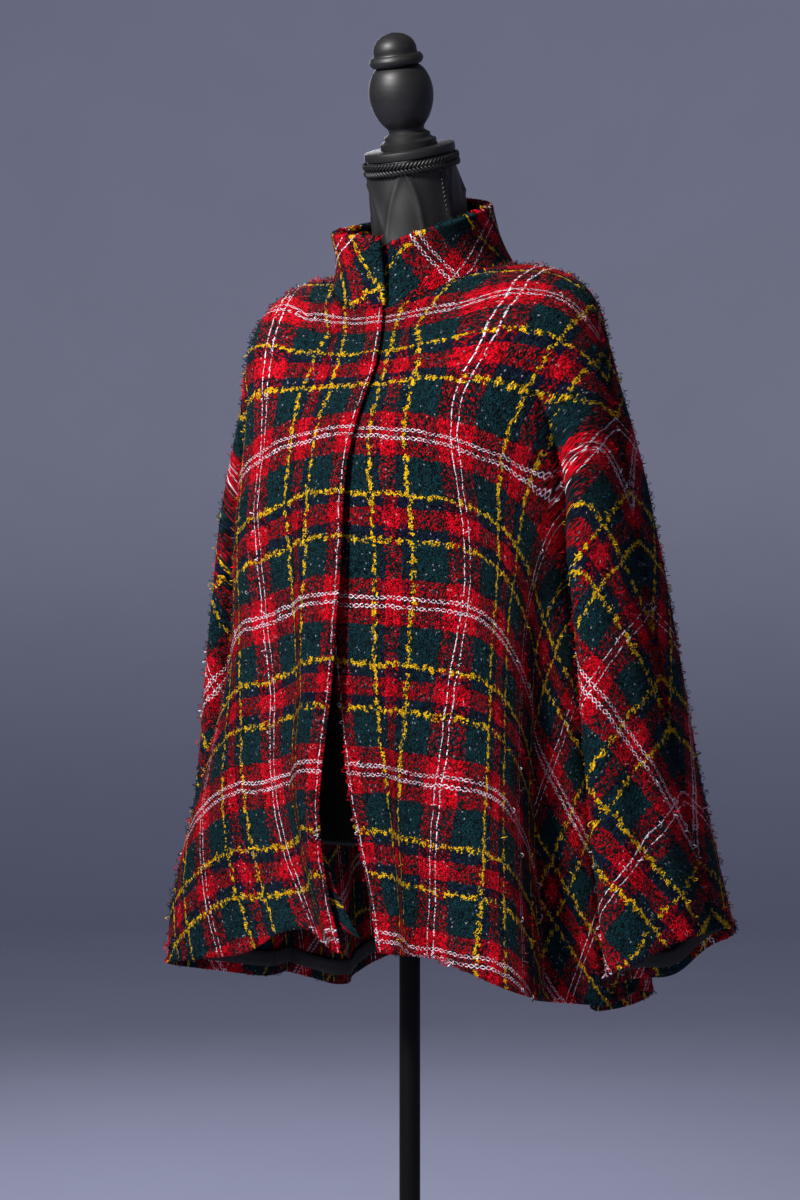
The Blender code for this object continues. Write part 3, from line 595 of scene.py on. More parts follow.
def lie_flat(name, body, sleeve):
    """Where each point of a panel was on the flat cloth, in metres.

    The panel fans out from above the neck. The body is measured from its middle
    edge and the sleeve from its over-arm seam; what the fan is wider than the
    hanging cloth is the cloth folded away between the two.
    """
    ring = np.concatenate((body, sleeve[:, 1:]), axis=1)
    radius = FAN_START + np.concatenate((measured(body), measured(sleeve)[:, 1:]), axis=1)
    steps = np.linalg.norm(np.diff(ring, axis=1), axis=-1)
    middle = 0.5 * (radius[:, 1:] + radius[:, :-1])
    turned = np.concatenate(
        (np.zeros((len(ring), 1)), np.cumsum(steps / middle, axis=1)), axis=1)
    length = measured(ring, axis=1)
    from_seam = FAN_ANGLE - (turned[:, -1:] - turned)
    valley = body.shape[1] - 1
    down = FALLS[:, None]
    side = np.minimum(1, np.arange(ring.shape[1]) / valley)[None, :]
    turned = turned + math.radians(GRAIN_TURN[name]) * (
        smooth_step(side, *GRAIN_TURN_ACROSS) * smooth_step(down, *GRAIN_TURN_DOWN))
    if name in NEXT_WHITE:
        table = NEXT_WHITE[name]
        white = np.array([[read_table(table, WARP_COLUMNS, f)["next_white"]] for f in FALLS])
        arc = radius * np.arcsin(np.minimum(0.95, CHECK / radius))
        most = MOST_FULLNESS + TOP_FULLNESS * (1 - smooth_step(down / 0.3))
        fullness = np.minimum(most, arc / white)
        hidden = arc - fullness * white
        crease = (arc / 2 - hidden / 2) / fullness
        gathered = (fullness - 1) * np.minimum(length, white) + hidden * smooth_step(
            (length - crease) / CREASE_WIDTH + 0.5)
        gathered = gathered / radius
    else:
        gathered = np.zeros_like(radius)
    fold_in = FOLD_IN_TOP + (FOLD_IN_LOW - FOLD_IN_TOP) * smooth_step(down / UNDERARM_FALL)
    past = (length - length[:, valley:valley + 1]) / fold_in
    share = smooth_step(0.5 + 0.5 * past)
    near_top = 1 - smooth_step(down, *EVEN_TOP_DOWN)
    share = share + near_top * (length / length[:, -1:] - share)
    curve = NECK_CURVE * (1 - smooth_step(down, *NECK_CURVE_DOWN))
    apart = smooth_step((FALLS - UNDERARM_FALL) / 0.12)[:, None]
    body_share = share[:, :valley + 1] * (1 - apart)
    sleeve_share = 1 - (1 - share[:, valley:]) * (1 - apart)
    flat = []
    for part_share, columns in (
        (body_share, slice(0, valley + 1)), (sleeve_share, slice(valley, None)),
    ):
        angle = turned[:, columns] * (1 - part_share) + from_seam[:, columns] * part_share
        angle = angle + gathered[:, columns] * (1 - part_share ** 2)
        reach = radius[:, columns]
        lift = SLEEVE_LIFT * smooth_step(down, *SLEEVE_LIFT_DOWN)
        bent = angle * (1 - curve * (1 - part_share ** 2))
        level = reach * np.cos(bent) + lift * part_share - WEFT_PLACE
        level = (level + YOKE_SHRINK * np.minimum(0, level)
                 + NECK_SHRINK * np.minimum(0, level + NECK_SHRINK_FROM))
        flat.append(np.stack([reach * np.sin(angle), level], axis=-1))
    return flat


class Fabric:
    """Points that several panels may share, with faces kept by piece."""

    def __init__(self):
        self.keys = {}
        self.points = []
        self.flat = {}
        self.faces = {}
        self.pulls = {}

    def add_point(self, point):
        key = tuple(int(round(v * 1e6)) for v in point)
        if key not in self.keys:
            self.keys[key] = len(self.points)
            self.points.append(point)
        return self.keys[key]

    def add_grid(self, piece, rows, flat, outward):
        index = np.array([[self.add_point(p) for p in row] for row in rows])
        table = self.flat.setdefault(piece, {})
        for slots, spots in zip(index, flat):
            for slot, spot in zip(slots, spots):
                table[int(slot)] = spot
        a = index[:-1, :-1].ravel()
        b = index[:-1, 1:].ravel()
        c = index[1:, 1:].ravel()
        d = index[1:, :-1].ravel()
        quads = np.stack((a, d, c, b) if outward else (a, b, c, d), axis=1)
        self.faces.setdefault(piece, []).append(quads)
        return index

    def pull(self, vertices, axis):
        for vertex in vertices:
            self.pulls.setdefault(int(vertex), set()).add(axis)

    def finish(self):
        self.points = np.array(self.points)
        self.faces = {piece: np.concatenate(parts) for piece, parts in self.faces.items()}
        normals = np.zeros_like(self.points)
        for quads in self.faces.values():
            p = self.points[quads]
            normal = np.cross(p[:, 2] - p[:, 0], p[:, 3] - p[:, 1])
            for corner in range(4):
                np.add.at(normals, quads[:, corner], normal)
        for vertex, axes in self.pulls.items():
            for axis in axes:
                normals[vertex][axis] = 0.0
        self.normals = normals / np.linalg.norm(normals, axis=1)[:, None]


def ripple(point):
    """Small unevenness of hanging wool, always outward."""
    here = Vector(point)
    often, high = RIPPLE_BROAD
    broad = high * (1 + noise.noise(here * often))
    often, high = RIPPLE_FINE
    return broad + high * (1 + noise.noise(here * often + Vector((7, 3, 1))))


def wall(name, fabric, piece, inner, outer, rough=True):
    """A closed wall of one piece's cloth with its flat place as a UV map."""
    quads = fabric.faces[piece]
    used = np.unique(quads)
    slots = np.full(len(fabric.points), -1)
    slots[used] = np.arange(len(used))
    count = len(used)
    half = SEAM_GAP / 2
    base = fabric.points[used].copy()
    for n, vertex in enumerate(used):
        axes = fabric.pulls.get(int(vertex), ())
        if 0 in axes:
            base[n, 0] += half * (piece.endswith("left") - piece.endswith("right"))
        if 1 in axes:
            base[n, 1] += half if piece.startswith("back") else -half
        if 2 in axes:
            base[n, 2] += half if piece == "collar" else -half
    normals = fabric.normals[used]
    lift = np.array([ripple(p) for p in fabric.points[used]]) if rough else np.zeros(count)
    top = base + normals * (outer + lift)[:, None]
    low = base + normals * (inner + lift)[:, None]
    local = slots[quads]
    edges = np.concatenate([local[:, [k, (k + 1) % 4]] for k in range(4)])
    seen = {}
    for start, end in edges.tolist():
        if (end, start) in seen:
            del seen[(end, start)]
        else:
            seen[(start, end)] = True
    rim = np.array(list(seen), dtype=int)
    ways = np.zeros_like(base)
    outward = unit(np.cross(base[rim[:, 1]] - base[rim[:, 0]], normals[rim[:, 0]]), LEAST)
    np.add.at(ways, rim[:, 0], outward)
    np.add.at(ways, rim[:, 1], outward)
    edge = np.unique(rim)
    fan_out = normals + unit(ways, LEAST)
    middle = np.full(count, -1)
    middle[edge] = 2 * count + np.arange(len(edge))
    bulge = unit(ways[edge], LEAST)
    sewn = np.array([int(used[n]) in fabric.pulls for n in edge])
    bulge *= (RIM_BULGE * (outer - inner) * ~sewn)[:, None]
    points = np.concatenate((top, low, 0.5 * (top[edge] + low[edge]) + bulge))
    start, end = rim[:, 0], rim[:, 1]
    polygons = np.concatenate((
        local,
        local[:, ::-1] + count,
        np.stack((end, start, middle[start], middle[end]), axis=1),
        np.stack((middle[end], middle[start], start + count, end + count), axis=1),
    ))
    flat = np.array([fabric.flat[piece][int(v)] for v in used])
    mesh = make_mesh(name, points.tolist(), polygons.tolist(),
                     np.concatenate((flat, flat, flat[edge])))
    area = 0.5 * doubled_areas(fabric.points[quads]).sum()
    return mesh, top, local, flat, fan_out, area


garment = {}


def drape():
    """Works out the four panels once, for all the operators."""
    if garment:
        return garment["fabric"], garment["grids"]
    fabric = Fabric()
    grids = {}
    below = int(np.argmin(np.abs(FALLS - UNDERARM_FALL)))
    for side, side_name in ((1, "left"), (-1, "right")):
        flip = np.array([side, 1.0, 1.0])
        for face in ("front", "back"):
            name = f"{face}_{side_name}"
            outward = (side == 1) == (face == "front")
            body = np.array([body_points(name, BODY_STEPS, f) for f in FALLS])
            sleeve = np.array([sleeve_points(name, SLEEVE_STEPS, f) for f in FALLS])
            body_flat, sleeve_flat = lie_flat(name, body, sleeve)
            for part, rows, flat in (("body", body, body_flat), ("sleeve", sleeve, sleeve_flat)):
                flat = flat * np.array([side, 1.0])
                index = fabric.add_grid(name, rows * flip, flat, outward)
                grids[name, part] = index
                fabric.pull(index[0], 2)
            fabric.pull(grids[name, "body"][below:, -1], 1)
            fabric.pull(grids[name, "sleeve"][below:, 0], 1)
            fabric.pull(grids[name, "sleeve"][:, -1], 1)
        fabric.pull(grids[f"back_{side_name}", "body"][:, 0], 0)
    fabric.finish()
    garment["fabric"] = fabric
    garment["grids"] = grids
    return fabric, grids


# ---------------------------------------------------------------- materials
def boucle_tartan(cloth):
    """Wool boucle tartan: slubby loops in red, bottle green, navy, yellow and white.

    Where two colours cross, each loop shows the warp or the weft, so the crossing is
    speckled, and painted shade darkens it; where warp and weft are both red the square
    is of one colour, and painted light makes it a little brighter.
    """
    name = "wool_boucle_tartan"
    if name in bpy.data.materials:
        return bpy.data.materials[name]
    material, tree, shader = new_material(name)
    half = cloth.repeat / 2
    flat = {"noise_dimensions": "2D"}
    place = add(tree, "UVMap", {"uv_map": "cut"})
    # the threads wander by a millimetre or two
    wander = add(tree, "TexNoise", flat, {"Vector": place, "Scale": 34.0, "Detail": 4.0})
    shift = add(tree, "VectorMath", "MULTIPLY_ADD", {
        0: wander.outputs["Color"], 1: (WANDER, WANDER, 0), 2: (-WANDER / 2, -WANDER / 2, 0)})
    spot = add(tree, "VectorMath", "ADD", {0: place, 1: shift})
    cells = add(tree, "TexVoronoi", {"voronoi_dimensions": "2D"},
                {"Vector": spot, "Scale": 1 / cloth.loop, "Randomness": 0.9})
    chance = add(tree, "SeparateColor", None, {0: cells.outputs["Color"]}).outputs
    centre = add(tree, "SeparateXYZ", None, {0: cells.outputs["Position"]}).outputs
    run = add(tree, "SeparateXYZ", None, {0: spot}).outputs
    bands = ((0.0, cloth.red), (RED_ENDS, cloth.green), (GREEN_ENDS, cloth.navy),
             (NAVY_ENDS, cloth.red))
    ramps = []
    for axis in "XY":
        folded = add(tree, "Math", "PINGPONG", {0: centre[axis], 1: half})
        level = add(tree, "Math", "DIVIDE", {0: folded, 1: half})
        ramp = add(tree, "ValToRGB", None, {0: level})
        ramp.color_ramp.interpolation = "CONSTANT"
        elements = ramp.color_ramp.elements
        for n, (start, colour) in enumerate(bands):
            element = elements[n] if n < 2 else elements.new(start / half)
            element.position = start / half
            element.color = (*colour, 1)
        ramps.append(ramp)
    warp, weft = ramps
    # which of the two lies on top, loop by loop
    clump = add(tree, "TexNoise", flat, {"Vector": place, "Scale": 420.0, "Detail": 1.0})
    both = add(tree, "Math", "MULTIPLY_ADD", {0: clump, 1: 0.7, 2: chance["Red"]})
    over = add(tree, "MapRange", None, {"Value": both, "From Min": 0.64, "From Max": 0.86})
    yarn = add(tree, "Mix", {"data_type": "RGBA"}, {0: over, 6: warp, 7: weft})
    # black flecks, painted shade in the gaps between loops, and a few pale ones spun into the yarn
    for test, share, strength, fleck in (
        ("GREATER_THAN", GAP_SHADE_FLECKS, 0.8, cloth.black),
        ("LESS_THAN", PALE_FLECKS, 0.28, cloth.white),
    ):
        found = add(tree, "Math", test, {0: chance["Green"], 1: share})
        faint = add(tree, "Math", "MULTIPLY", {0: found, 1: strength})
        yarn = add(tree, "Mix", {"data_type": "RGBA"},
                   {0: faint, 6: yarn.outputs[2], 7: (*fleck, 1)})
    # painted shade between the loops, lighter at each loop's middle; painted shade where two
    # colours cross, and painted light where warp and weft are of one colour
    shade = add(tree, "MapRange", None, {
        "Value": cells, "From Min": 0.15, "From Max": 0.75, "To Min": 1.25, "To Max": 0.35})
    tone = add(tree, "MapRange", None, {"Value": chance["Blue"], "To Min": 0.5, "To Max": 1.35})
    differ = add(tree, "VectorMath", "DISTANCE", {0: warp, 1: weft}).outputs["Value"]
    crossing_shade_and_light = add(tree, "MapRange", None, {
        "Value": differ, "From Min": 0.02, "From Max": 0.3, "To Min": 1.12, "To Max": 0.66})
    loop_tone_and_shade = add(tree, "Math", "MULTIPLY", {0: crossing_shade_and_light, 1: tone})
    dim = add(tree, "Math", "MULTIPLY", {0: shade, 1: loop_tone_and_shade})
    toned_and_shaded = add(tree, "VectorMath", "SCALE", {0: yarn.outputs[2], "Scale": dim})
    # slubby yellow yarn, thick and thin, on both sides of the navy
    slub = add(tree, "TexNoise", flat,
               {"Vector": place, "Scale": 150.0, "Detail": 2.0, "Roughness": 0.7})
    plump = add(tree, "MapRange", None, {
        "Value": slub, "From Min": 0.40, "From Max": 0.62, "To Min": -0.0008, "To Max": 0.0042})
    # white yarn: looped chains along the weft, thin broken pairs along the warp
    lines = {"yellow": [], "white": []}
    for side, length, eye_size, broken in (("Y", "X", 0.0016, 0.14), ("X", "Y", 0.0003, 0.34)):
        away = add(tree, "Math", "PINGPONG", {0: run[side], 1: half})
        gaps = []
        for line in (YELLOW_LINE, WHITE_LINE):
            beside = add(tree, "Math", "SUBTRACT", {0: away, 1: line})
            gaps.append(add(tree, "Math", "ABSOLUTE", {0: beside}))
        lines["yellow"].append(add(tree, "Math", "LESS_THAN", {0: gaps[0], 1: plump}))
        phase = add(tree, "Math", "MULTIPLY", {0: run[length], 1: math.pi / cloth.chain})
        beat = add(tree, "Math", "SINE", {0: phase})
        swell = add(tree, "Math", "ABSOLUTE", {0: beat})
        eye = add(tree, "Math", "MULTIPLY", {0: swell, 1: eye_size})
        strand = add(tree, "Math", "SUBTRACT", {0: gaps[1], 1: eye})
        off = add(tree, "Math", "ABSOLUTE", {0: strand})
        thread = add(tree, "Math", "LESS_THAN", {0: off, 1: WHITE_HALF_WIDTH})
        kept = add(tree, "Math", "GREATER_THAN", {0: chance["Green"], 1: broken})
        lines["white"].append(add(tree, "Math", "MULTIPLY", {0: thread, 1: kept}))
    yellow, white = (
        add(tree, "Math", "MAXIMUM", {0: pair[0], 1: pair[1]}) for pair in lines.values())
    loose = add(tree, "Math", "GREATER_THAN", {0: chance["Red"], 1: 0.2})
    yellow = add(tree, "Math", "MULTIPLY", {0: yellow, 1: loose})
    gold = add(tree, "VectorMath", "SCALE", {0: cloth.yellow, "Scale": tone})
    blend = add(tree, "Math", "MULTIPLY", {0: yellow, 1: 0.88})
    with_yellow = add(tree, "Mix", {"data_type": "RGBA"}, {0: blend, 6: toned_and_shaded, 7: gold})
    colour = add(tree, "Mix", {"data_type": "RGBA"},
                 {0: white, 6: with_yellow.outputs[2], 7: (*cloth.white, 1)})
    raised = add(tree, "Math", "MAXIMUM", {0: white, 1: yellow})
    height = add(tree, "Math", "SUBTRACT", {0: raised, 1: cells})
    lumps = add(tree, "TexNoise", flat, {"Vector": place, "Scale": 170.0, "Detail": 2.0})
    relief = add(tree, "Math", "MULTIPLY_ADD", {0: lumps, 1: 2.2, 2: height})
    bump = add(tree, "Bump", None, {"Strength": 1.0, "Distance": 0.0020, "Height": relief})
    feed(tree, shader, {"Base Color": colour.outputs[2], "Normal": bump, "Roughness": 0.9,
                        "Specular IOR Level": 0.12})
    return material


def dark_finish(name, texture, tones, bump, finish, spread=(1.0, 1.0, 1.0), cloud=None):
    """A near-black surface; one fine texture, or a broader one, gives its uneven tone."""
    if name in bpy.data.materials:
        return bpy.data.materials[name]
    material, tree, shader = new_material(name)
    place = add(tree, "TexCoord").outputs["Object"]
    place = add(tree, "VectorMath", "MULTIPLY", {0: place, 1: spread})
    scale, detail = texture
    fine = add(tree, "TexNoise", None, {"Vector": place, "Scale": scale, "Detail": detail})
    broad = fine
    if cloud:
        broad = add(tree, "TexNoise", None,
                    {"Vector": place, "Scale": cloud[0], "Detail": cloud[1]})
    tone = add(tree, "MapRange", None, {"Value": broad, "To Min": tones[0], "To Max": tones[1]})
    strength, distance = bump
    relief = add(tree, "Bump", None,
                 {"Strength": strength, "Distance": distance, "Height": fine})
    for socket, value in finish.items():
        if isinstance(value, tuple):
            finish[socket] = add(tree, "MapRange", None, {
                "Value": fine, "To Min": value[0], "To Max": value[1]})
    feed(tree, shader, {"Base Color": tone, "Normal": relief, **finish})
    return material


def cotton_jersey():
    """Black cotton jersey over the padded form: fine ribs and a faint bloom."""
    return dark_finish("cotton_jersey", (900.0, 2.0), (0.003, 0.009), (0.5, 0.0004), {
        "Roughness": 0.55, "Sheen Weight": 0.05, "Sheen Roughness": 0.45}, cloud=(24.0, 3.0))


def rayon_braid():
    """Black rayon braid: slightly shiny yarns."""
    return dark_finish("rayon_braid", (1500.0, 1.0), (0.003, 0.014), (0.5, 0.0002),
                       {"Roughness": 0.45})


def painted_beech():
    """Turned beech in black satin paint: faint turning lines and fine grain."""
    return dark_finish("painted_beech", (1.0, 4.0), (0.004, 0.014), (0.25, 0.0003),
                       {"Roughness": (0.42, 0.58)}, spread=(60.0, 60.0, 700.0))


def powder_coat():
    """Black powder-coated steel: even satin with a fine orange peel."""
    return dark_finish("powder_coated_steel", (420.0, 2.0), (0.001, 0.003), (0.2, 0.0002),
                       {"Roughness": 0.5, "Specular IOR Level": 0.15})


def woven_tape():
    """Black herringbone cotton tape: fine diagonal ribs, dull."""
    material, tree, shader = new_material("cotton_twill_tape")
    place = add(tree, "UVMap", {"uv_map": "cut"})
    ribs = add(tree, "TexWave", {"bands_direction": "DIAGONAL"},
               {"Vector": place, "Scale": 190.0, "Distortion": 1.0}).outputs["Fac"]
    tone = add(tree, "MapRange", None, {"Value": ribs, "To Min": 0.002, "To Max": 0.012})
    bump = add(tree, "Bump", None, {"Strength": 0.6, "Distance": 0.0004, "Height": ribs})
    feed(tree, shader, {"Base Color": tone, "Normal": bump, "Roughness": 0.7})
    return material


# ---------------------------------------------------------------- building
def cross_tube(points, normals, radius, sides):
    """Rings of a thin tube along each row of points; returns its corners and faces."""
    count, steps = points.shape[:2]
    tangents = unit(np.gradient(points, axis=1), LEAST)
    across = unit(np.cross(tangents, normals[:, None, :]), LEAST)
    up = np.cross(across, tangents)
    rings = []
    for n in range(sides):
        turn = 2 * math.pi * n / sides
        rings.append(points + radius * (math.cos(turn) * across + math.sin(turn) * up))
    rings = np.stack(rings, axis=2)
    index = np.arange(count * steps * sides).reshape(count, steps, sides)
    a = index[:, :-1, :]
    b = np.roll(a, -1, axis=2)
    d = index[:, 1:, :]
    c = np.roll(d, -1, axis=2)
    faces = np.stack((a, b, c, d), axis=-1).reshape(-1, 4)
    polygons = faces.tolist() + index[:, 0, ::-1].tolist() + index[:, -1, :].tolist()
    return rings.reshape(-1, 3), polygons


def grow_loops(name, points, quads, flat, normals, count, seed, at_rims=5, length=1.0):
    """Short stray loops of wool standing out of the cloth, as on boucle."""
    draw = np.random.default_rng(seed)
    corners = points[quads]
    at_rim = (np.linalg.norm(normals, axis=1) > RIM_LENGTH)[quads].any(axis=1)
    areas = doubled_areas(corners) * (1 + at_rims * at_rim)
    chosen = draw.choice(len(quads), size=count, p=areas / areas.sum())
    s = draw.random((count, 1))
    t = draw.random((count, 1))
    weights = np.concatenate(((1 - s) * (1 - t), s * (1 - t), s * t, (1 - s) * t), axis=1)
    root, spot, normal = (
        np.einsum("nk,nkd->nd", weights, values[quads][chosen])
        for values in (points, flat, normals))
    normal = unit(normal)
    side = unit(np.cross(normal, draw.normal(size=(count, 3))))
    least, more = LOOP_HEIGHTS
    tall = length * (least + more * draw.random((count, 1)) ** 2.5)
    least, more = LOOP_WIDTHS
    wide = least + more * draw.random((count, 1))
    path = []
    for step in np.linspace(-LOOP_SUNK, 1.0, 4):
        rise = np.sin(math.pi * min(step * 0.86 + 0.06, 1)) if step > 0 else -LOOP_SUNK
        path.append(root + side * wide * (2 * step - 1) + normal * tall * rise)
    sides = 3
    points, polygons = cross_tube(
        np.stack(path, axis=1), side + normal * LOOP_LEAN, LOOP_RADIUS, sides)
    flat = np.repeat(spot, len(path) * sides, axis=0)
    return make_mesh(name, points.tolist(), polygons, flat)


def dress(settings, name, fabric, thickness, loops, seed, **fuzz):
    """One piece of tweed and its stray loops; returns both and the cloth's area."""
    tweed = boucle_tartan(settings)
    mesh, points, quads, flat, normals, area = wall(
        f"jacket_{name}", fabric, name, -thickness / 2, thickness / 2)
    piece = add_piece(f"jacket_{name}", mesh, tweed)
    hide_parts(name)
    stray = grow_loops(f"loops_{name}", points, quads, flat, normals, loops, seed, **fuzz)
    return piece, add_piece(f"loops_{name}", stray, tweed), area


def build_panels(settings, seeds):
    """Panels of the jacket, each with the stray loops that its own seed grows."""
    fabric, _ = drape()
    for name, seed in seeds.items():
        piece, loose, area = dress(
            settings, name, fabric, CLOTH, settings.panel_loops, seed)


def collar_angles():
    """Plan angles from the centre front, by way of the wearer's right side."""
    quarters = {}
    bends = np.concatenate((
        VALLEY_ANGLE * BODY_STEPS,
        VALLEY_ANGLE + (math.pi / 2 - VALLEY_ANGLE) * SLEEVE_STEPS[1:],
    ))
    for name in ("front_right", "back_right", "back_left", "front_left"):
        edge_x = edge_of(name, 0.0)[0]
        arm_x = read_envelope(name, 0.0)["arm_x"]
        shares = (edge_x + (arm_x - edge_x) * np.sin(bends)) / arm_x
        quarters[name] = np.arcsin(np.minimum(1.0, shares))
    return np.concatenate((
        quarters["front_right"],
        math.pi - quarters["back_right"][:-1][::-1],
        math.pi + quarters["back_left"][1:],
        2 * math.pi - quarters["front_left"][:-1][::-1],
    ))


def collar_point(angle, turn, rise):
    """Rise 0 is the neck seam and 1 is the top edge; turn goes from end to end."""
    side = -1.0 if math.sin(angle / 2) * math.cos(angle / 2) >= 0 else 1.0
    low = read_table(ENVELOPE, ENVELOPE_COLUMNS, 0.0)
    ahead = math.cos(angle) >= 0
    low_middle = low["front_y"] if ahead else low["back_y"]
    low_z = low["front_z"] if ahead else low["back_z"]
    bend = abs(math.sin(angle))
    low_point = np.array([
        side * low["arm_x"] * bend,
        low["arm_y"] + (low_middle - low["arm_y"]) * abs(math.cos(angle)),
        low_z + (low["arm_z"] - low_z) * bend ** 2,
    ])
    top_middle = COLLAR_TOP_FRONT_Y if ahead else COLLAR_TOP_BACK_Y
    top_point = np.array([
        side * COLLAR_TOP_HALF_WIDTH * bend,
        COLLAR_TOP_MIDDLE_Y + (top_middle - COLLAR_TOP_MIDDLE_Y) * abs(math.cos(angle)),
        read_table(COLLAR_TOP, COLLAR_TOP_COLUMNS, turn)["z"],
    ])
    point = (1 - rise) * low_point + rise * top_point
    if turn < 0.25:
        point[1] -= lap_offset(-low_point[0], *edge_of("front_right", 0.0))
    if turn > 0.75:
        edge_x, edge_out = edge_of("front_left", 0.0)
        edge_out -= COLLAR_LEFT_TUCK * rise
        point[1] -= lap_offset(low_point[0], edge_x, edge_out)
    outward = np.array([side * bend, -math.cos(angle), 0.0])
    return point - outward * COLLAR_WAIST * math.sin(math.pi * rise)


def build_collar(settings):
    """The stand collar: doubled cloth with a rounded top edge."""
    fabric = Fabric()
    angles = collar_angles()[::2]
    turns = (angles - angles[0]) / (angles[-1] - angles[0])
    rises = np.linspace(1, 0, 25)
    rows = np.array([[collar_point(a, t, rise) for a, t in zip(angles, turns)] for rise in rises])
    along = measured(rows[len(rises) // 2])
    down = measured(rows)
    lean = settings.collar_grain
    across = np.broadcast_to(along, down.shape)
    flat = np.stack([
        across * math.cos(lean) + down * math.sin(lean) + settings.collar_warp,
        -across * math.sin(lean) + down * math.cos(lean) + settings.collar_weft,
    ], axis=-1)
    index = fabric.add_grid("collar", rows, flat, True)
    fabric.pull(index[-1], 2)
    fabric.finish()
    piece, loose, _ = dress(settings, "collar", fabric, COLLAR_CLOTH, settings.collar_loops, 5,
                            at_rims=16, length=1.4)


def build_facing(settings):
    """The strip behind the right front's edge, which shows below it."""
    fabric, grids = drape()
    rows = grids["front_right", "body"]
    columns = int(round(FACING_ACROSS * (len(BODY_STEPS) - 1)))
    facing = Fabric()
    strip = []
    flats = []
    for n in range(3, len(FALLS) - 2, 2):
        place = read_table(FACING, FACING_COLUMNS, float(FALLS[n]))
        free = fabric.points[rows[n, 0]] + np.array([place["past_edge"], place["behind"], 0.0])
        under = [int(rows[n, m]) for m in range(5, columns + 1, 2)]
        start = fabric.points[under[0]]
        lead = [free + (start - free) * t for t in (0.0, 0.25, 0.5, 0.75)]
        strip.append(lead + [fabric.points[vertex] for vertex in under])
        spots = [fabric.flat["front_right"][vertex] for vertex in under]
        step = np.array([FACING_STEP, 0])
        flats.append([spots[0] + step * k for k in (4, 3, 2, 1)] + spots)
    facing.add_grid("placket_facing", np.array(strip), np.array(flats), False)
    facing.finish()
    outer = -CLOTH / 2 - FACING_CLEAR
    mesh, _, _, _, _, area = wall(
        "jacket_facing", facing, "placket_facing", outer - FACING_THICKNESS, outer, rough=False)
    piece = add_piece("jacket_facing", mesh, boucle_tartan(settings))
    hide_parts("placket_facing")


def build_tapes(settings):
    """Black tape sewn inside the hems and the cuffs."""
    fabric, grids = drape()
    tape = woven_tape()
    outer = -CLOTH / 2 - TAPE_CLEAR
    inner = outer - settings.tape
    top, low = (int(np.argmin(np.abs(FALLS - fall))) for fall in TAPE_FALLS)
    first = int(round(TAPE_ACROSS * (len(BODY_STEPS) - 1)))
    runs = {
        "hem_tape_left": [("front_left", "body", 0)],
        "hem_tape_right": [("front_right", "body", first)],
        "hem_tape_back": [("back_left", "body", 0), ("back_right", "body", 0)],
        "cuff_tape_left": [("front_left", "sleeve", 0), ("back_left", "sleeve", 0)],
        "cuff_tape_right": [("front_right", "sleeve", 0), ("back_right", "sleeve", 0)],
    }
    for name, parts in runs.items():
        strip = Fabric()
        for panel, part, start in parts:
            index = grids[panel, part][top:low + 1, start:]
            outward = panel in ("front_left", "back_right")
            rows = fabric.points[index]
            down = TAPE_WIDTH * np.arange(len(rows)) / (len(rows) - 1)
            flat = np.stack(
                np.broadcast_arrays(measured(rows[0])[None, :], down[:, None]), axis=-1)
            strip.add_grid(name, rows, flat, outward)
        strip.finish()
        mesh, _, _, flat, _, area = wall(name, strip, name, inner, outer, rough=False)
        piece = add_piece(f"sewn_{name}", mesh, tape)
        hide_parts(name)


# ---------------------------------------------------------------- dress form
def yoke_ring(angles, fall):
    """A ring of the form just under the cloth; angle 0 is the centre front."""
    ring = np.empty((len(angles), 3))
    near = 0.004
    for sign in (1, -1):
        for face in ("front", "back"):
            name = f"{face}_{'left' if sign > 0 else 'right'}"
            beside = (np.sin(angles) >= 0) == (sign > 0)
            mask = beside & ((np.cos(angles) >= 0) == (face == "front"))
            bend = np.arcsin(np.minimum(1.0, np.abs(np.sin(angles[mask]))))
            here = shoulder_points(name, bend, fall, 0.0)
            before = shoulder_points(name, bend - near, fall, 0.0)
            after = shoulder_points(name, bend + near, fall, 0.0)
            along = np.where((bend < near)[:, None], here - after, before - here)
            down = shoulder_points(name, bend, fall + near, 0.0) - here
            normal = np.cross(along, down)
            normal *= (np.sign(normal[:, 2]) / np.linalg.norm(normal, axis=1))[:, None]
            points = here - normal * (CLOTH / 2 + FORM_CLEAR)
            if face == "front":
                points[:, 1] += FORM_FRONT_CLEAR * hump(points[:, 0] / 0.1)
            points[:, 0] *= sign
            ring[mask] = points
    return ring


def form_ring(row, angles, level_power):
    entry = dict(zip(FORM_COLUMNS, row))
    ahead = np.cos(angles) >= 0
    share = np.abs(np.cos(angles))
    middle_y = np.where(ahead, entry["front_y"], entry["back_y"])
    middle_z = np.where(ahead, entry["front_z"], entry["back_z"])
    return np.stack([
        entry["side_x"] * np.sin(angles),
        entry["side_y"] + (middle_y - entry["side_y"]) * share,
        entry["side_z"] + (middle_z - entry["side_z"]) * share ** level_power,
    ], axis=-1)


def through(rings, between):
    """Smooth rings through some rings, with as many between each two of them."""
    rings = np.array(rings)
    fine = []
    for n in range(len(rings) - 1):
        before = rings[max(n - 1, 0)]
        after = rings[min(n + 2, len(rings) - 1)]
        start, end = rings[n], rings[n + 1]
        for k in range(between):
            t = k / between
            lead = 0.5 * (end - before)
            tail = 0.5 * (after - start)
            fine.append(
                (2 * t ** 3 - 3 * t ** 2 + 1) * start + (t ** 3 - 2 * t ** 2 + t) * lead
                + (3 * t ** 2 - 2 * t ** 3) * end + (t ** 3 - t ** 2) * tail)
    fine.append(rings[-1])
    return np.array(fine)


def neck_crease(point):
    """Slack in the jersey round the neck: a few soft diagonal creases."""
    x, y, z = point
    top, reach = CREASES_TO
    band = float(smooth_step(z, *CREASES_FROM) * smooth_step((top - z) / reach))
    turn = math.atan2(x, -(y - 0.02)) / math.pi
    slant = z * 34 + turn * 9
    soft = noise.noise(Vector((x * 14, y * 14, z * 9)))
    ridge = (1 - abs(math.sin(slant + 2.4 * soft))) ** 3
    counter = (1 - abs(math.sin(z * 26 - turn * 13 + 3 * soft + 1))) ** 4
    return band * (CREASE_DEPTH * ridge + COUNTER_CREASE_DEPTH * counter)


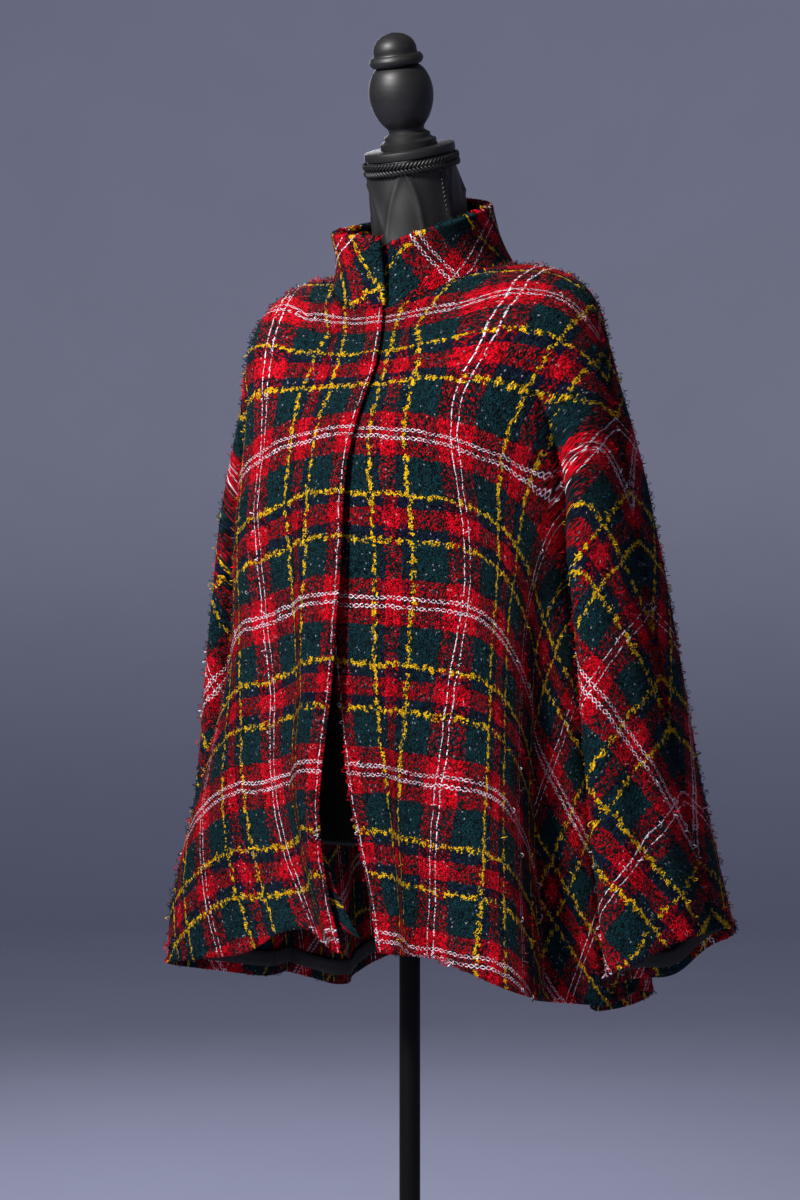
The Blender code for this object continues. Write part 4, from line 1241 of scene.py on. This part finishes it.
def build_form():
    angles = np.linspace(0, 2 * math.pi, 161)[:-1]
    rings = [form_ring(row, angles, 1) for row in FORM_NECK]
    rings += [yoke_ring(angles, fall) for fall in FORM_YOKE_FALLS]
    rings += [form_ring(row, angles, 2) for row in FORM_TRUNK]
    fine = through(rings, 10)
    centre = fine.mean(axis=1, keepdims=True)
    outward = fine - centre
    outward[..., 2] = 0
    outward = unit(outward)
    for ring, ways in zip(fine, outward):
        if ring[0, 2] > 1.34:
            for n in range(len(ring)):
                ring[n] += ways[n] * neck_crease(ring[n])
    count = len(angles)
    rows = len(fine)
    polygons = []
    for row in range(rows - 1):
        for n in range(count):
            a = row * count + n
            b = row * count + (n + 1) % count
            polygons.append((a, a + count, b + count, b))
    polygons.append(tuple(range(count)))
    polygons.append(tuple(range((rows - 1) * count, rows * count))[::-1])
    mesh = make_mesh("form_cover", fine.reshape(-1, 3).tolist(), polygons)
    piece = add_piece("form_cover", mesh, cotton_jersey())
    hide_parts("form_torso")


def cap_frame():
    return Matrix.Translation(Vector(CAP_POINT)) @ Matrix.Rotation(NECK_TILT, 4, "X")


def settle(piece, name, matrix, material, angle=math.radians(40)):
    """Names a piece made by hand, puts its place into its mesh and gives its finish."""
    piece.name = name
    piece.data.name = name
    piece.data.transform(matrix @ piece.matrix_world)
    piece.matrix_world = Matrix.Identity(4)
    piece.data.materials.clear()
    piece.data.materials.append(material)
    bpy.ops.object.mode_set(mode="OBJECT")
    bpy.ops.object.select_all(action="DESELECT")
    piece.select_set(True)
    bpy.context.view_layer.objects.active = piece
    bpy.ops.object.shade_smooth_by_angle(angle=angle)
    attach(piece, "root")
    return piece


def raise_profile(profile, segments):
    """Extrudes a filled disc upward through (radius, height) rows, as on a lathe."""
    bpy.ops.object.select_all(action="DESELECT")
    radius, height = profile[0]
    bpy.ops.mesh.primitive_circle_add(
        vertices=segments, radius=radius, fill_type="NGON", location=(0, 0, 0))
    piece = bpy.context.active_object
    bpy.ops.object.mode_set(mode="EDIT")
    bpy.ops.mesh.select_all(action="SELECT")
    bpy.ops.transform.translate(value=(0, 0, height))
    for next_radius, next_height in profile[1:]:
        bpy.ops.mesh.extrude_region_move(
            TRANSFORM_OT_translate={"value": (0, 0, next_height - height)})
        share = next_radius / radius
        bpy.ops.transform.resize(value=(share, share, 1), center_override=(0, 0, next_height))
        radius, height = next_radius, next_height
    bpy.ops.mesh.select_all(action="SELECT")
    bpy.ops.mesh.normals_make_consistent(inside=False)
    bpy.ops.object.mode_set(mode="OBJECT")
    return piece


def rounded(rows, between):
    """More (radius, height) rows on a smooth curve through the given ones."""
    rings = through([np.array(row) for row in rows], between)
    return [(max(1e-4, float(r)), float(h)) for r, h in rings]


def build_neck_top():
    """The cap disc and the turned finial."""
    frame_of_cap = cap_frame()
    wood = painted_beech()
    top = SEAM_GAP + CAP_HEIGHT
    cap = (
        (CAP_RADIUS - CAP_EDGE, SEAM_GAP), (CAP_RADIUS - CAP_BEVEL, SEAM_GAP + CAP_BEVEL),
        (CAP_RADIUS, SEAM_GAP + CAP_EDGE), (CAP_RADIUS, top - CAP_EDGE),
        (CAP_RADIUS - CAP_BEVEL, top - CAP_BEVEL), (CAP_RADIUS - CAP_EDGE, top),
    )
    disc = raise_profile(cap, CAP_SIDES)
    settle(disc, "neck_cap_disc", frame_of_cap, wood)
    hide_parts("neck_cap")
    seat = top + SEAM_GAP
    foot = [(r, h + seat) for r, h in FINIAL[:5]]
    bowl = rounded([(r, h + seat) for r, h in FINIAL[4:12]], 5)
    crown = rounded([(r, h + seat) for r, h in FINIAL[11:]] + [(0.0004, FINIAL_TIP + seat)], 4)
    finial = raise_profile(foot + bowl[1:] + crown[1:], FINIAL_SIDES)
    settle(finial, "turned_finial", frame_of_cap, wood)
    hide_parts("neck_finial")


def chevron(start, along, outward, up, size, points, faces):
    """Two plump stitches of braid that meet in a V."""
    for sign in (1, -1):
        direction = along * STITCH_ALONG + up * sign * STITCH_UP
        direction /= np.linalg.norm(direction)
        across = np.cross(outward, direction)
        middle = start + up * sign * size * STITCH_APART
        first = len(points)
        rows, columns = STITCH_ROWS, STITCH_SIDES
        for row in range(rows):
            t = -1 + 2 * row / (rows - 1)
            girth = math.sqrt(max(0.06, 1 - t * t))
            for column in range(columns):
                turn = 2 * math.pi * column / columns
                points.append(
                    middle + direction * t * size * STITCH_HALF_LENGTH
                    + across * math.cos(turn) * girth * size * STITCH_HALF_WIDTH
                    + outward * math.sin(turn) * girth * size * STITCH_HEIGHT)
        for row in range(rows - 1):
            for column in range(columns):
                a = first + row * columns + column
                b = first + row * columns + (column + 1) % columns
                faces.append((a, b, b + columns, a + columns))
        faces.append(tuple(first + n for n in reversed(range(columns))))
        faces.append(tuple(first + (rows - 1) * columns + n for n in range(columns)))


def build_braids(settings):
    """The herringbone braid under the cap, and the one down the side of the neck."""
    frame_of_cap = cap_frame()
    points, faces = [], []
    for n in range(CAP_STITCHES):
        turn = 2 * math.pi * n / CAP_STITCHES
        outward = np.array([math.sin(turn), -math.cos(turn), 0.0])
        along = np.array([math.cos(turn), math.sin(turn), 0.0])
        start = outward * settings.braid_ring + np.array([0, 0, -CORD_DROP])
        up = np.array([0.0, 0.0, 1.0])
        chevron(start, along, outward, up, CAP_STITCH_SIZE, points, faces)
    rotation = np.array(frame_of_cap.to_3x3())
    origin = np.array(frame_of_cap.translation)
    mesh = make_mesh("cap_braid", [tuple(rotation @ p + origin) for p in points], faces)
    piece = add_piece("cap_braid", mesh, rayon_braid())
    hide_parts("neck_cord")
    angle = np.array([settings.side_braid_turn])
    rings = through([form_ring(row, angle, 1) for row in FORM_NECK], 12)[:, 0]
    steps = measured(rings)
    points, faces = [], []
    first, last = SIDE_BRAID_RUN
    for spot in np.arange(first, min(last, steps[-1] - first), SIDE_STITCH_PITCH):
        place = np.array([np.interp(spot, steps, rings[:, axis]) for axis in range(3)])
        ahead = np.array([np.interp(spot + 0.002, steps, rings[:, axis]) for axis in range(3)])
        along = (ahead - place) / np.linalg.norm(ahead - place)
        outward = np.array([math.sin(angle[0]), -math.cos(angle[0]), 0.0])
        outward -= along * outward.dot(along)
        outward /= np.linalg.norm(outward)
        side = np.cross(along, outward)
        raised = place + outward * SIDE_BRAID_RAISED
        chevron(raised, along, outward, side, SIDE_STITCH_SIZE, points, faces)
    mesh = make_mesh("neck_side_braid", [tuple(p) for p in points], faces)
    add_piece("neck_side_braid", mesh, rayon_braid())


def build_stand():
    """The pole, its hub and the round base."""
    steel = powder_coat()
    low = BASE_HEIGHT + SEAM_GAP
    here = Matrix.Identity(4)
    pole = raise_profile(((POLE_RADIUS, low), (POLE_RADIUS, POLE_TOP)), POLE_SIDES)
    settle(pole, "steel_pole", here, steel)
    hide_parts("stand_pole")
    steps = [(BASE_RADIUS - BASE_EDGE * (1 - math.sin(a)),
              BASE_HEIGHT - BASE_EDGE * (1 - math.cos(a)))
             for a in np.linspace(math.pi / 2, 0, 7)]
    base = raise_profile([(BASE_RADIUS, 0.0)] + steps, BASE_SIDES)
    settle(base, "round_base", here, steel)
    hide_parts("stand_base")
    hub = [(radius, low + height) for radius, height in HUB]
    collar = raise_profile([hub[0]] + rounded(hub[1:], 4), POLE_SIDES)
    # both ends get a ring of their own round the pole
    select_faces(collar, lambda face: abs(face.normal.z) > 0.99 and len(face.vertices) > 4)
    bpy.ops.mesh.inset(thickness=HUB[-1][0] - POLE_RADIUS - HUB_GAP)
    bpy.ops.object.mode_set(mode="OBJECT")
    settle(collar, "pole_hub", here, steel)
    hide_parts("stand_hub")


# ---------------------------------------------------------------- stage
CAMERA_TURN = math.radians(30)
CAMERA_REACH = 2.75
CAMERA_HEIGHT = 1.045
CAMERA_LENS = 80.5
CAMERA_SHIFT = -9.8 / 1200
SWEEP_LOW = -0.0005      # the floor's height
SWEEP_TOP = 6.5
SWEEP_BEND = 3.0         # radius of the bend from floor to wall
CHEST = (0, 0, 1.1)      # what the lights point at
# Each light's place, size across and colour
LIGHTS = {
    "key": ((-0.55, -2.4, 2.9), 0.45, (1.0, 0.97, 0.96)),
    "fill": ((2.6, -1.6, 1.7), 1.6, (0.88, 0.92, 1.0)),
    "rim": ((-1.8, 2.2, 2.3), 1.0, (0.9, 0.93, 1.0)),
}


def stage_paint(settings):
    """Matt painted plaster: pale, slightly cool, with a faint mottle."""
    material, tree, shader = new_material("matt_plaster")
    place = add(tree, "TexCoord").outputs["Object"]
    mottle = add(tree, "TexNoise", None, {"Vector": place, "Scale": 3.0, "Detail": 4.0})
    # the floor gets more light than the wall, so it is painted a little deeper
    split = add(tree, "SeparateXYZ", None, {0: place}).outputs
    height = add(tree, "MapRange", {"interpolation_type": "SMOOTHSTEP"},
                 {"Value": split["Z"], "From Min": 0.0, "From Max": 1.8})
    paint = add(tree, "Mix", {"data_type": "RGBA"},
                {0: height, 6: (*settings.floor, 1), 7: (*settings.backdrop, 1)})
    faint = add(tree, "MapRange", None, {"Value": mottle, "To Min": 0.95, "To Max": 1.03})
    colour = add(tree, "VectorMath", "SCALE", {0: paint.outputs[2], "Scale": faint})
    feed(tree, shader, {"Base Color": colour, "Roughness": 0.95, "Specular IOR Level": 0.1})
    return material


def area_light(name, place, size, energy, colour):
    light = bpy.data.lights.new(name, "AREA")
    light.shape = "DISK"
    light.size = size
    light.energy = energy
    light.color = colour
    lamp = bpy.data.objects.new(name, light)
    lamp.location = place
    way = Vector(CHEST) - Vector(place)
    lamp.rotation_euler = way.to_track_quat("-Z", "Y").to_euler()
    bpy.context.scene.collection.objects.link(lamp)


def build_stage(settings):
    """A pale round sweep, soft lights and the camera."""
    radius = settings.sweep_radius
    flat_radius = radius - SWEEP_BEND
    rows = [(0.2, SWEEP_LOW), (flat_radius, SWEEP_LOW)]
    rows += [(flat_radius + SWEEP_BEND * math.sin(a),
              SWEEP_BEND * (1 - math.cos(a)) + SWEEP_LOW)
             for a in np.linspace(0, math.pi / 2, 14)[1:]]
    rows += [(radius, SWEEP_TOP)]
    sweep = raise_profile(rows, SWEEP_SIDES)
    # the lid comes off
    select_faces(sweep, lambda face: len(face.vertices) > 4 and face.center.z > 1)
    bpy.ops.mesh.delete(type="FACE")
    bpy.ops.mesh.select_all(action="SELECT")
    bpy.ops.mesh.normals_make_consistent(inside=True)
    bpy.ops.object.mode_set(mode="OBJECT")
    sweep.name = "studio_sweep"
    sweep.data.materials.append(stage_paint(settings))
    sweep.data.shade_smooth()
    world = bpy.data.worlds.new("studio_air")
    bpy.context.scene.world = world
    world.use_nodes = True
    air = world.node_tree.nodes["Background"].inputs
    air[0].default_value = (*settings.air, 1)
    air[1].default_value = settings.air_strength
    for name, (place, size, colour) in LIGHTS.items():
        area_light(name, place, size, getattr(settings, name), colour)
    camera = bpy.data.cameras.new("camera")
    camera.sensor_fit = "VERTICAL"
    camera.sensor_height = 36
    camera.lens = CAMERA_LENS
    camera.shift_x = CAMERA_SHIFT
    eye = bpy.data.objects.new("camera", camera)
    eye.location = (
        math.sin(CAMERA_TURN) * CAMERA_REACH, -math.cos(CAMERA_TURN) * CAMERA_REACH,
        CAMERA_HEIGHT)
    eye.rotation_euler = (math.pi / 2, 0, CAMERA_TURN)
    bpy.context.scene.collection.objects.link(eye)
    bpy.context.scene.camera = eye
    bpy.context.scene.view_settings.view_transform = "Standard"


# ---------------------------------------------------------------- add-on
def colour_property(name, description, hex_colour):
    return bpy.props.FloatVectorProperty(
        name=name, description=description, subtype="COLOR", size=3,
        min=0.0, max=1.0, default=linear(hex_colour))


def float_property(name, description, default, unit="LENGTH"):
    return bpy.props.FloatProperty(
        name=name, description=description, default=default, unit=unit)


class CapeCloth(bpy.types.PropertyGroup):
    repeat: float_property("Check repeat", "One repeat of the tartan, across or down", CHECK)
    loop: float_property("Loop", "Width of one boucle loop", 0.0017)
    chain: float_property("Chain", "Length of one link of the white yarn", 0.0066)
    tape: float_property("Tape", "Thickness of the hem tape", 0.0009)
    red: colour_property("Red", "Red yarn", "#D2001C")
    green: colour_property("Green", "Bottle green yarn", "#072E34")
    navy: colour_property("Navy", "Navy yarn", "#10142F")
    yellow: colour_property("Yellow", "Yellow yarn", "#F2BE08")
    white: colour_property("White", "White yarn", "#F2E8F2")
    # the black flecks are painted shade in the gaps between the loops
    black: colour_property("Black", "Black flecks", "#060607")
    collar_grain: bpy.props.FloatProperty(
        name="Collar grain", description="How far the collar is cut off the straight grain",
        default=math.radians(-62), subtype="ANGLE")
    collar_warp: float_property(
        "Collar warp", "Where the check starts along the collar", -0.0187)
    collar_weft: float_property(
        "Collar weft", "Where the check starts down the collar", 0.0314)
    collar_loops: bpy.props.IntProperty(
        name="Collar loops", description="Stray loops on the collar", default=3400)
    panel_loops: bpy.props.IntProperty(
        name="Panel loops", description="Stray loops on each panel", default=6500)


class CapeForm(bpy.types.PropertyGroup):
    braid_ring: float_property("Braid ring", "Radius of the braid under the cap", 0.0490)
    side_braid_turn: bpy.props.FloatProperty(
        name="Side braid", description="Where the braid runs down the neck, from the front",
        default=math.radians(72), subtype="ANGLE")


class CapeStage(bpy.types.PropertyGroup):
    sweep_radius: float_property("Sweep radius", "Radius of the round backdrop", 9.0)
    backdrop: colour_property("Backdrop", "Paint of the sweep's wall", "#E2E5F8")
    floor: colour_property("Floor", "Paint of the sweep's floor", "#A9ACC4")
    air: colour_property("Air", "Colour of the light all round", "#D5DAEC")
    air_strength: float_property("Air strength", "Strength of the light all round", 0.14, "NONE")
    key: float_property("Key", "Power of the main light", 160.0, "POWER")
    fill: float_property("Fill", "Power of the light from the right", 1.5, "POWER")
    rim: float_property("Rim", "Power of the light from behind", 24.0, "POWER")


class CAPE_OT_fronts(bpy.types.Operator):
    """Drapes the two fronts, each with the front half of its sleeve"""
    bl_idname = "cape.fronts"
    bl_label = "Fronts"

    def execute(self, context):
        build_panels(context.scene.cape_cloth, {"front_left": 1, "front_right": 2})
        return {"FINISHED"}


class CAPE_OT_backs(bpy.types.Operator):
    """Drapes the two halves of the back, each with the back half of its sleeve"""
    bl_idname = "cape.backs"
    bl_label = "Backs"

    def execute(self, context):
        build_panels(context.scene.cape_cloth, {"back_left": 3, "back_right": 4})
        return {"FINISHED"}


class CAPE_OT_collar(bpy.types.Operator):
    """Stands the collar on the neck seam"""
    bl_idname = "cape.collar"
    bl_label = "Collar"

    def execute(self, context):
        build_collar(context.scene.cape_cloth)
        return {"FINISHED"}


class CAPE_OT_facing(bpy.types.Operator):
    """Backs the edge of the right front with its facing"""
    bl_idname = "cape.facing"
    bl_label = "Facing"

    def execute(self, context):
        build_facing(context.scene.cape_cloth)
        return {"FINISHED"}


class CAPE_OT_tapes(bpy.types.Operator):
    """Sews the tapes inside the hems and cuffs"""
    bl_idname = "cape.tapes"
    bl_label = "Tapes"

    def execute(self, context):
        build_tapes(context.scene.cape_cloth)
        return {"FINISHED"}


class CAPE_OT_form(bpy.types.Operator):
    """Covers the dress form, without limbs, in black jersey"""
    bl_idname = "cape.form"
    bl_label = "Form"

    def execute(self, context):
        build_form()
        return {"FINISHED"}


class CAPE_OT_neck_top(bpy.types.Operator):
    """Turns the cap disc and the finial"""
    bl_idname = "cape.neck_top"
    bl_label = "Cap and Finial"

    def execute(self, context):
        build_neck_top()
        return {"FINISHED"}


class CAPE_OT_braids(bpy.types.Operator):
    """Lays the braids round and down the neck"""
    bl_idname = "cape.braids"
    bl_label = "Braids"

    def execute(self, context):
        build_braids(context.scene.cape_form)
        return {"FINISHED"}


class CAPE_OT_stand(bpy.types.Operator):
    """Makes the pole, its hub and the round base"""
    bl_idname = "cape.stand"
    bl_label = "Stand"

    def execute(self, context):
        build_stand()
        return {"FINISHED"}


class CAPE_OT_stage(bpy.types.Operator):
    """Sets the sweep, the lights and the camera"""
    bl_idname = "cape.stage"
    bl_label = "Stage"

    def execute(self, context):
        build_stage(context.scene.cape_stage)
        return {"FINISHED"}


OPERATORS = (
    CAPE_OT_form, CAPE_OT_neck_top, CAPE_OT_braids, CAPE_OT_stand, CAPE_OT_fronts,
    CAPE_OT_backs, CAPE_OT_collar, CAPE_OT_facing, CAPE_OT_tapes, CAPE_OT_stage,
)


class CAPE_PT_panel(bpy.types.Panel):
    """Lists the pieces and their settings"""
    bl_idname = "CAPE_PT_panel"
    bl_label = "Cape Jacket"
    bl_space_type = "VIEW_3D"
    bl_region_type = "UI"
    bl_category = "Cape"

    def draw(self, context):
        for operator in OPERATORS:
            self.layout.operator(operator.bl_idname)
        for group in (context.scene.cape_cloth, context.scene.cape_form, context.scene.cape_stage):
            box = self.layout.box()
            for name in group.__annotations__:
                box.prop(group, name)


CLASSES = (CapeCloth, CapeForm, CapeStage) + OPERATORS + (CAPE_PT_panel,)


def register():
    for item in CLASSES:
        bpy.utils.register_class(item)
    bpy.types.Scene.cape_cloth = bpy.props.PointerProperty(type=CapeCloth)
    bpy.types.Scene.cape_form = bpy.props.PointerProperty(type=CapeForm)
    bpy.types.Scene.cape_stage = bpy.props.PointerProperty(type=CapeStage)


def unregister():
    for name in ("cape_cloth", "cape_form", "cape_stage"):
        delattr(bpy.types.Scene, name)
    for item in reversed(CLASSES):
        bpy.utils.unregister_class(item)


def main():
    register()
    bpy.ops.cape.form()
    bpy.ops.cape.neck_top()
    bpy.ops.cape.braids()
    bpy.ops.cape.stand()
    bpy.ops.cape.fronts()
    bpy.ops.cape.backs()
    bpy.ops.cape.collar()
    bpy.ops.cape.facing()
    bpy.ops.cape.tapes()
    bpy.ops.cape.stage()


if __name__ == "__main__":
    main()
